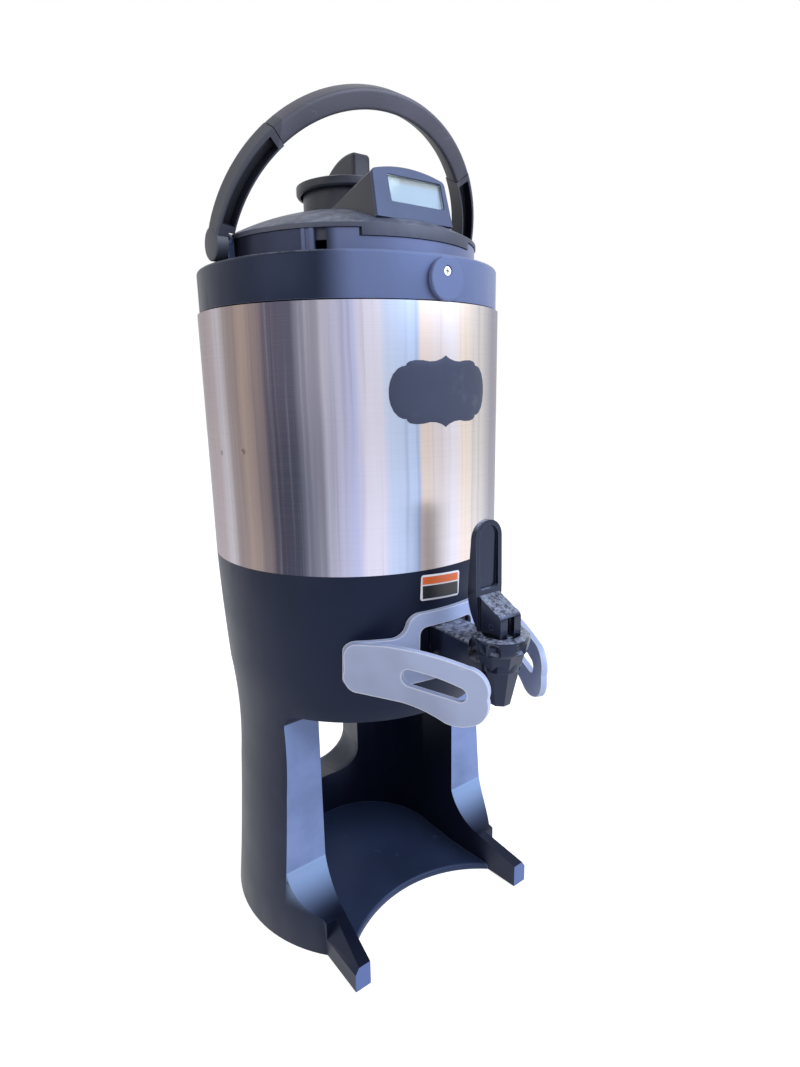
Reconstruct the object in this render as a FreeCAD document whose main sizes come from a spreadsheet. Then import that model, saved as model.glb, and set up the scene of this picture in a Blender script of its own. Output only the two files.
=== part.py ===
import FreeCAD, Part
import os
import re
import Sketcher
from FreeCAD import Placement, Rotation, Vector

# Insulated drink server: a waisted pedestal with a cup bay, a steel vessel, a lid with
# a timer display and flip cap, a bail handle, and a lever tap behind a winged guard.
# Millimetres, +Z up, front towards -Y, origin on the body axis at floor level.

SIZES = {
    # Pedestal
    "body_rad": (118, "outer radius of the steel body and of the pedestal rim"),
    "well_height": (112.5, "roof of the cup bay to the foot of the steel"),
    "waist_tuck": (8, "how far the waist lies inside the rim"),
    "waist_height": (172, "height of the waist"),
    "shoulder_tuck": (4.2, "how far the turn from waist to shoulder lies inside"),
    "shoulder_height": (226, "height of that turn"),
    "shoulder_bulge": (0.5, "swell of the shoulder over a straight taper"),
    "calf_tuck": (6.2, "how far the turn from waist to foot flare lies inside"),
    "calf_height": (130, "height of that turn"),
    "flare_dip": (0.7, "hollow of the foot flare under a straight taper"),
    "foot_flare": (3.5, "how far the foot stands out beyond the rim"),
    "sole": (0.8, "thickness of the rubber foot pads"),
    "pad_rad": (5.5, "radius of the foot pads"),
    "base_wall": (3, "moulded wall of the pedestal"),
    "bay_height": (203, "floor to the roof of the cup bay"),
    "bay_wall": (47, "rim of the pedestal to the wall of the cup bay"),
    "fascia_depth": (43.7, "axis to the flat front faces beside the bay"),
    "fascia_corner": (14, "fillet at the top of those faces"),
    "bend_height": (62, "height where the front faces bend forward"),
    "instep_reach": (79, "axis to the end of that bend"),
    "instep_height": (31, "height of the toes at the end of the bend"),
    "toe_height": (21.2, "height of the toe tips"),
    "toe_setback": (1.1, "toe tips behind the front of the foot ring"),
    "toe_spread": (8, "how far the toe gap widens to the front"),
    "toe_width": (13.6, "width of the toe tips"),
    "toe_chamfer": (5.2, "foot of the slanting outer edge below the toe tips"),
    "toe_slant": (0.63, "slope of that edge"),
    "deck_top": (6, "floor to the deck of the cup bay"),
    "deck_front": (61, "axis to the middle of the hollow deck edge"),
    "deck_corner": (90, "axis to the corners of the deck edge"),
    "deck_round": (2.5, "rounding of the deck's front edge"),
    "plate_thick": (2, "thickness of the sole plate"),
    "hole_half": (32, "half width of the rear hand hole"),
    "hole_low": (51, "foot of the hand hole"),
    "hole_high": (150, "top of the hand hole"),
    "hole_round": (22, "corner radius of the hand hole"),
    "hole_taper": (12, "flare of the hand hole in degrees"),
    "well_wall": (9, "wall round the vessel well"),
    "screw_rad": (1.6, "shank radius of the small screws"),
    "screw_head": (2.9, "head radius of the small screws"),
    # Vessel
    "steel_height": (183, "height of the visible steel"),
    "sheet": (1, "steel sheet of the vessel"),
    "vessel_step": (13, "how far the vessel steps in inside the pedestal"),
    "vessel_gap": (8, "cushion between the bay roof and the vessel"),
    "cushion_edge": (10, "cushion inside the foot of the vessel"),
    "cushion_width": (35, "width of that cushion"),
    "vacuum_gap": (26, "steel outside to liner inside"),
    "mouth_step": (11.5, "how far the liner closes in at its mouth"),
    "mouth_depth": (15, "length of the liner neck"),
    "flange_step": (5, "how far the liner flange stands out beyond the liner"),
    # Collar
    "seam": (1, "dark seam between steel and collar"),
    "collar_step": (1.7, "how far the collar lies inside the steel"),
    "collar_height": (30.5, "collar height above the steel"),
    "collar_wall": (3, "wall of the collar"),
    "land_thick": (3.5, "thickness of the collar land"),
    "land_width": (16.2, "width of the collar land"),
    "disc_rad": (14, "radius of the round boss on the collar"),
    "disc_rise": (13, "middle of that boss above the collar foot"),
    "disc_thick": (3.8, "how far it stands out"),
    "disc_offset": (5, "its screw above its middle"),
    # Handle
    "pivot_rise": (12, "handle pivot above the collar"),
    "pivot_back": (5, "pivot in front of the body axis"),
    "pivot_rad": (3, "radius of the pivot pins"),
    "handle_lean": (28.4, "forward lean in degrees as photographed"),
    "handle_inset": (7.9, "middle of the handle inside the collar"),
    "handle_thick": (12.8, "radial thickness of the handle"),
    "handle_width": (15, "fore and aft width of the handle"),
    "hub_rad": (11, "radius of the handle hubs"),
    "ear_rad": (8, "radius of the collar ears"),
    "ear_thick": (4.6, "thickness of the collar ears"),
    "grip_round": (5, "edge rounding of the grip"),
    "channel_width": (6.5, "width of the channel in the legs"),
    "channel_depth": (4, "depth of that channel"),
    # Lid
    "skirt_gap": (0.8, "gap between lid skirt and collar land"),
    "skirt_rise": (15.5, "top of the lid skirt above the collar"),
    "skirt_wall": (3, "wall of the lid skirt"),
    "slot_angle": (44, "slot in the lid skirt, degrees to the left of the front"),
    "slot_half": (5, "half width of that slot"),
    "rib_angle": (47.5, "first rib beside the slot, degrees to the left of the front"),
    "rib_pitch": (2.5, "degrees from rib to rib"),
    "rib_half": (1.2, "half width of the ribs"),
    "rib_out": (0.8, "how far the ribs stand out"),
    "rim_reach": (1, "how far the lid rim stands out over its skirt"),
    "rim_thick": (3, "height of the lid rim"),
    "lip_drop": (5, "how far the front lip hangs down"),
    "lip_half": (27.5, "half angle of the front lip in degrees"),
    "dome_wall": (3, "wall of the lid dome"),
    "dome_mid": (30, "rim to the middle of the dome, along its radius"),
    "dome_mid_rise": (13.5, "rise of the dome there"),
    "dome_rise": (23, "rise of the dome beside the neck"),
    "plug_gap": (1.5, "gap between plug and liner mouth"),
    "plug_depth": (24, "reach of the plug below its flange"),
    "gasket_thick": (3.3, "thickness of the lid gasket"),
    "lug_reach": (2.8, "how far the bayonet lugs stand out"),
    "lug_height": (4.5, "height of the bayonet lugs"),
    "lug_turn": (32, "turn of the lid from locked to free in degrees"),
    "neck_rad": (33, "outer radius of the filling neck"),
    "neck_wall": (3, "wall of the filling neck"),
    "neck_rise": (18.5, "filling neck above the dome"),
    "tube_rad": (14, "outer radius of the funnel tube"),
    "tube_drop": (61.5, "reach of the funnel tube below the steel top"),
    # Cap
    "brim_reach": (5, "how far the cap brim stands out over the neck"),
    "brim_thick": (3.5, "thickness of the cap brim"),
    "brim_lip": (3.7, "drop of the lip under the brim"),
    "cap_crown": (5, "rise of the cap over its brim"),
    "tab_half": (8, "half width of the thumb tab"),
    "tab_front": (23.6, "axis to the front of the tab"),
    "tab_rise": (19.2, "top of the tab above the brim"),
    "tab_rear": (20, "axis to the rear of the tab"),
    "hinge_gap": (5, "cap hinge behind the brim"),
    "hinge_drop": (4.3, "cap hinge below the brim"),
    "hinge_rad": (1.6, "radius of the cap hinge pin"),
    "knuckle_rad": (3.7, "radius of the cap hinge knuckles"),
    "knuckle_half": (6, "half width of the middle knuckle"),
    "lug_width": (5, "width of the outer knuckles"),
    # Display
    "face_setback": (12.3, "foot of the display face behind the lid rim"),
    "face_lean": (8, "how far the display face leans back"),
    "face_lift": (5, "foot of the display face above the lid rim"),
    "face_rise": (31, "height of the display face"),
    "face_half_low": (33.2, "half width at the foot"),
    "face_half_high": (31.3, "half width at the top"),
    "face_arch": (5, "rise of the top edge in its middle"),
    "face_round": (4, "rounding of the upper corners of the face"),
    "bezel_thick": (3, "thickness of the bezel"),
    "window_side": (4.3, "middle of the window beside the middle of the face"),
    "window_half": (23.3, "half width of the window"),
    "window_tall": (18.5, "height of the window"),
    "window_low": (12, "foot of the window above the foot of the face"),
    # Tap
    "tap_out": (56, "spout axis in front of the body"),
    "tap_drop": (60.5, "tap shank below the rim of the pedestal"),
    "flat_depth": (6.5, "flat under the recess plate inside the rim"),
    "plate_half": (25, "half width of the recess plate"),
    "plate_down": (19, "foot of the recess plate below the shank"),
    "plate_up": (18.5, "head of the recess plate above the shank"),
    "recess_thick": (3, "thickness of the recess plate"),
    "shank_rad": (7.8, "radius of the shank"),
    "shank_bore": (5.5, "bore of the shank"),
    "hex_rad": (13, "corner radius of the shank nut"),
    "washer_rad": (13.5, "radius of the shank washer"),
    "neck_half": (14, "half width of the tap neck"),
    "neck_up": (17.8, "top of the tap neck above the shank"),
    "neck_down": (12, "foot of the tap neck below the shank"),
    "neck_round": (3, "edge rounding of the tap neck"),
    "nut_room": (3, "gap between the bonnet nut and the tap neck"),
    "spout_top": (14.5, "corner radius of the spout at its head"),
    "spout_tip": (7.6, "corner radius of the spout at its tip"),
    "spout_drop": (25, "tip of the spout below the shank"),
    "spout_bore": (5.5, "bore of the spout"),
    "chamber_rad": (9.2, "radius of the valve chamber"),
    "chamber_half": (10, "top of the valve chamber above the shank"),
    "seat_drop": (7, "valve seat below the shank"),
    "nut_rad": (19, "radius of the bonnet nut"),
    "nut_lift": (6, "foot of the bonnet nut above the shank"),
    "nut_tall": (9, "height of the bonnet nut"),
    "scallop_rad": (3.2, "radius of the scallops of that nut"),
    "bonnet_tall": (14.7, "height of the bonnet over the chamber"),
    "stem_rad": (3, "radius of the valve stem"),
    "pin_rise": (32, "lever pin above the shank"),
    "pin_rad": (2, "radius of the lever pin"),
    "foot_half": (9.5, "half width of the lever foot"),
    "foot_front": (9, "pin to the front of the lever foot"),
    "foot_drop": (7, "pin to the sole of the lever foot"),
    "foot_rise": (10.6, "pin to the top of the lever foot at its front"),
    "foot_heel": (19, "pin to the top of the lever foot at the blade"),
    "blade_half": (12, "half width of the lever blade"),
    "blade_top": (70, "pin to the top of the lever blade"),
    "blade_thick": (9.6, "greatest thickness of the lever blade"),
    "blade_tip": (3.5, "thickness of the blade at its top"),
    "blade_back": (11, "pin to the front of the blade"),
    "blade_lean": (1.8, "how far the blade leans back at its top"),
    "blade_rim": (3.4, "rim round the hollow of the blade"),
    "blade_hollow": (1.5, "depth of that hollow at its top"),
    "coil_rad": (5.6, "radius of the stem spring"),
    "coil_wire": (1.1, "wire of the stem spring"),
    # Guard
    "guard_gap": (0.3, "gap between guard and pedestal"),
    "guard_wall": (4, "thickness of the guard frame"),
    "frame_up": (29.5, "top of the guard frame above the shank"),
    "frame_half": (35, "half width of the guard frame"),
    "ear_half": (74, "half width over the guard ears"),
    "ear_up": (12.5, "top of the guard ears above the shank"),
    "ear_down": (25, "foot of the guard ears below the shank"),
    "wing_turn": (64, "angle of the wings to the front in degrees"),
    "wing_length": (107.7, "length of the wings"),
    "wing_thick": (4.5, "thickness of the wings"),
    "wing_droop": (4, "how far the wings droop at the front"),
    # Fits
    "slip": (0.08, "running fit at pins and stems"),
    "play": (0.3, "gap between pieces that pass each other"),
}

# Places that follow from the sizes.
DERIVED = {
    "foot_rad": "body_rad + foot_flare",
    "calf_rad": "body_rad - calf_tuck",
    "waist_rad": "body_rad - waist_tuck",
    "shoulder_rad": "body_rad - shoulder_tuck",
    "bay_rad": "body_rad - bay_wall",
    "toe_inner": "bay_rad + toe_spread",
    "toe_outer": "toe_inner + toe_width",
    "toe_reach": "foot_rad - toe_setback",
    "slant_foot": "toe_height - toe_chamfer",
    "slant_head": "instep_height + 1",
    "roof_top": "bay_height + base_wall",
    "base_height": "roof_top + well_height",
    "cavity_out": "waist_rad - base_wall",
    "cavity_in": "bay_rad + base_wall",
    "well_rad": "body_rad - well_wall",
    "steel_top": "base_height + steel_height",
    "vessel_rad": "body_rad - vessel_step",
    "vessel_foot": "roof_top + vessel_gap",
    "liner_rad": "body_rad - vacuum_gap",
    "liner_floor": "tap_height - 14",
    "mouth_rad": "liner_rad - mouth_step",
    "mouth_top": "steel_top + sheet",
    "flange_rad": "liner_rad + flange_step",
    "collar_rad": "body_rad - collar_step",
    "collar_foot": "steel_top + seam",
    "collar_top": "steel_top + collar_height",
    "land_rad": "collar_rad - land_width",
    "land_low": "collar_top - land_thick",
    "disc_height": "collar_foot + disc_rise",
    "pivot_height": "collar_top + pivot_rise",
    "handle_rad": "collar_rad - handle_inset",
    "inner_rad": "handle_rad - handle_thick / 2",
    "outer_rad": "handle_rad + handle_thick / 2",
    "ear_in": "lid_rad + 0.9",
    "ear_out": "ear_in + ear_thick",
    "hub_in": "ear_out + play",
    "skirt_rad": "land_rad - skirt_gap",
    "skirt_in": "skirt_rad - skirt_wall",
    "skirt_foot": "flange_top",
    "skirt_top": "collar_top + skirt_rise",
    "lid_rad": "skirt_rad + rim_reach",
    "rim_low": "skirt_top + play",
    "rim_top": "rim_low + rim_thick",
    "dome_mid_rad": "lid_rad - dome_mid",
    "dome_mid_height": "rim_top + dome_mid_rise",
    "crown_height": "rim_top + dome_rise",
    "gasket_low": "mouth_top + play",
    "flange_low": "gasket_low + gasket_thick",
    "flange_top": "flange_low + 3",
    "plug_rad": "mouth_rad - plug_gap",
    "neck_in": "neck_rad - neck_wall",
    "neck_top": "crown_height + neck_rise",
    "tube_foot": "steel_top - tube_drop",
    "brim_rad": "neck_rad + brim_reach",
    "brim_low": "neck_top + play",
    "brim_top": "brim_low + brim_thick",
    "plug_in": "neck_in - 3",
    "tab_top": "brim_top + tab_rise",
    "hinge_reach": "brim_rad + hinge_gap",
    "hinge_height": "brim_low - hinge_drop",
    "face_low": "lid_rad - face_setback",
    "face_high": "face_low - face_lean",
    "face_foot": "rim_top + face_lift",
    "face_top": "face_foot + face_rise",
    "face_run": "sqrt(face_lean ^ 2 + face_rise ^ 2)",
    "face_tilt": "atan(face_lean / face_rise)",
    "window_left": "window_side - window_half",
    "window_right": "window_side + window_half",
    "window_high": "window_low + window_tall",
    "tap_reach": "body_rad + tap_out",
    "tap_height": "base_height - tap_drop",
    "tap_flat": "body_rad - flat_depth",
    "plate_low": "tap_height - plate_down",
    "plate_high": "tap_height + plate_up",
    "plate_front": "tap_flat + recess_thick",
    "washer_front": "plate_front + 1.5",
    "spout_height": "tap_height - spout_drop",
    "seat_height": "tap_height - seat_drop",
    "rim_height": "tap_height + chamber_half",
    "neck_low": "tap_height - neck_down",
    "neck_high": "tap_height + neck_up",
    "nut_low": "tap_height + nut_lift",
    "nut_high": "nut_low + nut_tall",
    "bonnet_top": "rim_height + bonnet_tall",
    "pin_height": "tap_height + pin_rise",
    "frame_top": "tap_height + frame_up",
    "ear_top": "tap_height + ear_up",
    "ear_low": "tap_height - ear_down",
    "wing_back": "sqrt((body_rad + 1) ^ 2 - ear_half ^ 2)",
}

doc = FreeCAD.newDocument("drink_server")
sheet = doc.addObject("Spreadsheet::Sheet", "Dims")
for row, (alias, (number, note)) in enumerate(SIZES.items(), 1):
    sheet.set(f"A{row}", alias)
    sheet.set(f"B{row}", str(number))
    sheet.set(f"C{row}", note)
    sheet.setAlias(f"B{row}", alias)
gauge = doc.addObject("App::FeaturePython", "Gauge")
gauge.addProperty("App::PropertyFloat", "Reading")
doc.recompute()

PIECES = []


def ex(text):
    """Spell a size formula with the sheet's cells in place of the plain names."""

    def swap(match):
        word = match.group(0)
        if word in DERIVED:
            return f"({ex(DERIVED[word])})"
        return f"Dims.{word}" if word in SIZES else word

    return re.sub(r"[a-z][a-z_]*", swap, str(text))


def val(text):
    """The present value of a size formula."""
    gauge.setExpression("Reading", f"{ex(text)} * 1")
    gauge.recompute()
    return gauge.Reading


def new_body(name, at=("0", "0", "0")):
    body = doc.addObject("PartDesign::Body", name)
    body.Label = name
    body.AllowCompound = True
    for axis, text in zip("xyz", at):
        if text != "0":
            body.setExpression(f"Placement.Base.{axis}", ex(text))
    PIECES.append(body)
    return body


def pin_point(sk, geo, end, x, y):
    """Hold a point of a sketch at two size formulas."""
    for kind, text, axis in (("DistanceX", x, -2), ("DistanceY", y, -1)):
        if text == "0":
            sk.addConstraint(Sketcher.Constraint("PointOnObject", geo, end, axis))
            continue
        index = sk.addConstraint(Sketcher.Constraint(kind, -1, 1, geo, end, val(text)))
        sk.setExpression(f"Constraints[{index}]", ex(text))


def draw(sk, path):
    """Draw a closed outline: corners are (x, y), arcs are (middle x, middle y, x, y)."""
    steps = path[1:] if len(path[-1]) == 4 and path[-1][2:] == path[0] else path[1:] + [path[0]]
    here = path[0]
    ends = []
    for step in steps:
        there = step[-2:]
        start = Vector(val(here[0]), val(here[1]), 0)
        stop = Vector(val(there[0]), val(there[1]), 0)
        if len(step) == 2:
            geo = sk.addGeometry(Part.LineSegment(start, stop), False)
            flipped = False
        else:
            middle = Vector(val(step[0]), val(step[1]), 0)
            geo = sk.addGeometry(Part.Arc(start, middle, stop), False)
            flipped = sk.getPoint(geo, 1).distanceToPoint(start) > 1e-6
            mark = sk.addGeometry(Part.Point(middle), True)
            sk.addConstraint(Sketcher.Constraint("PointOnObject", mark, 1, geo))
            pin_point(sk, mark, 1, step[0], step[1])
        ends.append((geo, 2 if flipped else 1, 1 if flipped else 2, here))
        here = there
    for (geo, first, _, corner), (before, _, last, _) in zip(ends, ends[-1:] + ends[:-1]):
        sk.addConstraint(Sketcher.Constraint("Coincident", before, last, geo, first))
        pin_point(sk, geo, first, *corner)


def draw_circle(sk, x, y, rad):
    circle = Part.Circle(Vector(val(x), val(y), 0), Vector(0, 0, 1), val(rad))
    geo = sk.addGeometry(circle, False)
    pin_point(sk, geo, 3, x, y)
    index = sk.addConstraint(Sketcher.Constraint("Radius", geo, val(rad)))
    sk.setExpression(f"Constraints[{index}]", ex(rad))


def sketch(body, role, shapes, lift="0", turn=None):
    """A sketch on one of the body's own planes, holding outlines and circles."""
    sk = body.newObject("Sketcher::SketchObject", f"{body.Name}_outline")
    plane = [f for f in body.Origin.OriginFeatures if f.Role == role][0]
    sk.AttachmentSupport = [(plane, "")]
    sk.MapMode = "FlatFace"
    if turn:
        sk.AttachmentOffset = Placement(Vector(), Rotation(turn[0], 1))
        sk.setExpression("AttachmentOffset.Rotation.Angle", ex(turn[1]))
    if lift != "0":
        sk.setExpression("AttachmentOffset.Base.z", ex(lift))
    for shape in shapes:
        if isinstance(shape, tuple):
            draw_circle(sk, *shape)
        else:
            draw(sk, shape)
    return sk


def feature(body, kind, sk):
    made = body.newObject(f"PartDesign::{kind}", f"{body.Name}_{kind}")
    made.Profile = sk
    sk.Visibility = False
    return made


def extrude(body, kind, sk, length, middle=False, back=False, taper=None):
    made = feature(body, kind, sk)
    made.setExpression("Length", ex(length))
    made.SideType = "Symmetric" if middle else "One side"
    made.Reversed = back
    if taper:
        made.setExpression("TaperAngle", ex(taper))
    return made


def pad(body, sk, length, **options):
    return extrude(body, "Pad", sk, length, **options)


def pocket(body, sk, length, **options):
    before = body.Tip
    made = extrude(body, "Pocket", sk, length, **options)
    doc.recompute()
    if made.Shape.Volume > before.Shape.Volume - 0.01:
        raise ValueError(f"{made.Name} cuts nothing")
    return made


def spin(body, kind, sk, angle="360", middle=False):
    made = feature(body, kind, sk)
    made.ReferenceAxis = (sk, ["V_Axis"])
    made.setExpression("Angle", ex(angle))
    made.Midplane = middle
    return made


def turned(name, path, at=("0", "0", "0")):
    """A piece that is one closed outline turned about its upright axis."""
    body = new_body(name, at)
    spin(body, "Revolution", sketch(body, "XZ_Plane", [path]))
    return body


def pattern(body, kind, originals, **settings):
    made = body.newObject(f"PartDesign::{kind}", f"{body.Name}_{kind}")
    made.Originals = originals
    for key, setting in settings.items():
        setattr(made, key, setting)
    body.Tip = made
    return made


def polar(body, originals, count):
    axis = [f for f in body.Origin.OriginFeatures if f.Role == "Z_Axis"][0]
    return pattern(body, "PolarPattern", originals, Axis=(axis, [""]), Angle=360, Occurrences=count)


def mirrored(body, originals):
    plane = [f for f in body.Origin.OriginFeatures if f.Role == "YZ_Plane"][0]
    return pattern(body, "Mirrored", originals, MirrorPlane=(plane, [""]))


def dress(body, kind, size, test):
    """Fillet or chamfer the edges whose midpoint passes a test."""
    doc.recompute()
    base = body.Tip
    names = []
    for number, edge in enumerate(base.Shape.Edges, 1):
        middle = edge.valueAt((edge.FirstParameter + edge.LastParameter) / 2)
        if test(middle, edge):
            names.append(f"Edge{number}")
    made = body.newObject(f"PartDesign::{kind}", f"{body.Name}_{kind}")
    made.Base = (base, names)
    made.setExpression("Radius" if kind == "Fillet" else "Size", ex(size))
    doc.recompute()
    return made


def near(value, text, room=0.05):
    return abs(value - val(text)) < room


def box_path(left, low, right, high, rad):
    """A rectangle with rounded corners."""
    cut = f"({rad}) * 0.2929"
    return [
        (f"{left} + {rad}", low),
        (f"{right} - {rad}", low),
        (f"{right} - {cut}", f"{low} + {cut}", right, f"{low} + {rad}"),
        (right, f"{high} - {rad}"),
        (f"{right} - {cut}", f"{high} - {cut}", f"{right} - {rad}", high),
        (f"{left} + {rad}", high),
        (f"{left} + {cut}", f"{high} - {cut}", left, f"{high} - {rad}"),
        (left, f"{low} + {rad}"),
        (f"{left} + {cut}", f"{low} + {cut}", f"{left} + {rad}", low),
    ]


def ring_path(inner, outer, low, high):
    return [(inner, low), (outer, low), (outer, high), (inner, high)]


def shoulder_curve(grow):
    """Foot, middle and head of the pedestal's shoulder, grown outwards."""
    return (
        (f"shoulder_rad + {grow}", "shoulder_height"),
        (
            f"(shoulder_rad + body_rad) / 2 + shoulder_bulge + {grow}",
            "(shoulder_height + base_height) / 2",
        ),
        (f"body_rad + {grow}", "base_height"),
    )


def make_base_shell():
    body = new_body("base_shell")
    foot, middle, head = shoulder_curve("0")
    outline = [
        ("0", "sole"),
        ("foot_rad", "sole"),
        (
            "(foot_rad + calf_rad) / 2 - flare_dip",
            "(sole + calf_height) / 2",
            "calf_rad",
            "calf_height",
        ),
        ("waist_rad", "waist_height", *foot),
        (*middle, *head),
        ("0", "base_height"),
    ]
    spin(body, "Revolution", sketch(body, "XZ_Plane", [outline]))
    toes = []
    for side in ("", "-"):
        inner, outer = f"{side}(toe_inner - 10)", f"{side}toe_outer"
        toes.append([(inner, "-40"), (outer, "-40"), (outer, "-toe_reach"), (inner, "-toe_reach")])
    pad(body, sketch(body, "XY_Plane", toes, lift="sole"), "bend_height - sole - 1")
    front = [
        ("-2 * body_rad", "toe_height"),
        ("-toe_reach", "toe_height"),
        ("-instep_reach", "instep_height"),
        (
            "-fascia_depth - (instep_reach - fascia_depth) * 0.27",
            "instep_height + (bend_height - instep_height) * 0.44",
            "-fascia_depth",
            "bend_height",
        ),
        ("-fascia_depth", "bay_height - fascia_corner"),
        (
            "-fascia_depth - fascia_corner * 0.2929",
            "bay_height - fascia_corner * 0.2929",
            "-fascia_depth - fascia_corner",
            "bay_height",
        ),
        ("-2 * body_rad", "bay_height"),
    ]
    pocket(body, sketch(body, "YZ_Plane", [front]), "4 * body_rad", middle=True)
    bay = [
        ("-bay_rad", "0"),
        ("0", "bay_rad", "bay_rad", "0"),
        ("bay_rad", "-fascia_depth"),
        ("toe_inner", "-toe_reach"),
        ("toe_inner", "-2 * body_rad"),
        ("-toe_inner", "-2 * body_rad"),
        ("-toe_inner", "-toe_reach"),
        ("-bay_rad", "-fascia_depth"),
    ]
    pocket(body, sketch(body, "XY_Plane", [bay], lift="bay_height"), "bay_height")
    wall = "(fascia_depth - base_wall)"
    block = "(hole_half + 16)"
    cavities = []
    for side in ("", "-"):
        cavities.append([
            (f"{side}cavity_in", f"-{wall}"),
            (f"{side}sqrt(cavity_out ^ 2 - {wall} ^ 2)", f"-{wall}"),
            (
                f"{side}cavity_out * 0.94",
                "cavity_out * sqrt(1 - 0.94 ^ 2)",
                f"{side}{block}",
                f"sqrt(cavity_out ^ 2 - {block} ^ 2)",
            ),
            (f"{side}{block}", f"sqrt(cavity_in ^ 2 - {block} ^ 2)"),
            (
                f"{side}cavity_in * 0.9",
                "cavity_in * sqrt(1 - 0.9 ^ 2)",
                f"{side}cavity_in",
                "0",
            ),
        ])
    roof = "bay_height - base_wall"
    pocket(body, sketch(body, "XY_Plane", cavities, lift=roof), roof)
    recess = [
        (f"-sqrt(cavity_out ^ 2 - {wall} ^ 2)", f"-{wall}"),
        (f"sqrt(cavity_out ^ 2 - {wall} ^ 2)", f"-{wall}"),
        ("0", "cavity_out", f"-sqrt(cavity_out ^ 2 - {wall} ^ 2)", f"-{wall}"),
    ]
    lift = "sole + plate_thick + play"
    pocket(body, sketch(body, "XY_Plane", [recess], lift=lift), lift)
    well = ring_path("0", "well_rad", "roof_top", "base_height + 1")
    spin(body, "Groove", sketch(body, "XZ_Plane", [well]))
    hole = box_path("-hole_half", "hole_low", "hole_half", "hole_high", "hole_round")
    start = "-(bay_rad - 12)"
    rear = sketch(body, "XZ_Plane", [hole], lift=start)
    pocket(body, rear, "body_rad", taper="hole_taper")
    plate = box_path(
        "-plate_half - play",
        "plate_low - play",
        "plate_half + play",
        "plate_high + play",
        "6",
    )
    flat = sketch(body, "XZ_Plane", [plate], lift="tap_flat + 20")
    pocket(body, flat, "20")
    shank = sketch(body, "XZ_Plane", [("0", "tap_height", "shank_rad + play")], lift="tap_flat + 1")
    pocket(body, shank, "20")
    slants = []
    for side in ("", "-"):
        slants.append([
            (f"{side}(toe_outer + 5)", "slant_foot"),
            (f"{side}toe_outer", "slant_foot"),
            (f"{side}(toe_outer - toe_slant * (slant_head - slant_foot))", "slant_head"),
            (f"{side}(toe_outer + 5)", "slant_head"),
        ])
    face = sketch(body, "XZ_Plane", slants, lift="toe_reach + 1")
    pocket(body, face, "toe_reach - instep_reach + 1")


def make_deck():
    body = new_body("deck_plate")
    wall = "(fascia_depth - base_wall - play)"
    rad = "(cavity_out - play)"
    side = "(bay_rad - play)"
    lean = "(toe_inner - bay_rad) / (toe_reach - fascia_depth)"
    corner = f"(bay_rad - play + (deck_corner - fascia_depth) * {lean})"
    sole = [
        (f"-{rad} * sqrt(1 - ({wall} / {rad}) ^ 2)", f"-{wall}"),
        (f"-{side}", f"-{wall}"),
        (f"-{side}", "-fascia_depth"),
        (f"-{corner}", "-deck_corner"),
        ("0", "-deck_front", corner, "-deck_corner"),
        (side, "-fascia_depth"),
        (side, f"-{wall}"),
        (f"{rad} * sqrt(1 - ({wall} / {rad}) ^ 2)", f"-{wall}"),
        ("0", rad, f"-{rad} * sqrt(1 - ({wall} / {rad}) ^ 2)", f"-{wall}"),
    ]
    pad(body, sketch(body, "XY_Plane", [sole], lift="sole"), "plate_thick")
    deck = [
        (f"-{side}", "0"),
        (f"-{side}", "-fascia_depth"),
        (f"-{corner}", "-deck_corner"),
        ("0", "-deck_front", corner, "-deck_corner"),
        (side, "-fascia_depth"),
        (side, "0"),
        ("0", side, f"-{side}", "0"),
    ]
    pad(body, sketch(body, "XY_Plane", [deck], lift="sole"), "deck_top - sole")
    dress(body, "Fillet", "deck_round", lambda p, e: near(p.z, "deck_top") and near(p.y, "-deck_front"))


def make_pads():
    body = new_body("rubber_feet")
    toe = "(toe_inner + toe_outer) / 2"
    spots = [(toe, "-toe_reach + 16"), ("60", "72"), ("92", "-18")]
    circles = [(f"{side}{x}", y, "pad_rad") for x, y in spots for side in ("", "-")]
    pad(body, sketch(body, "XY_Plane", circles), "sole")


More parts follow.
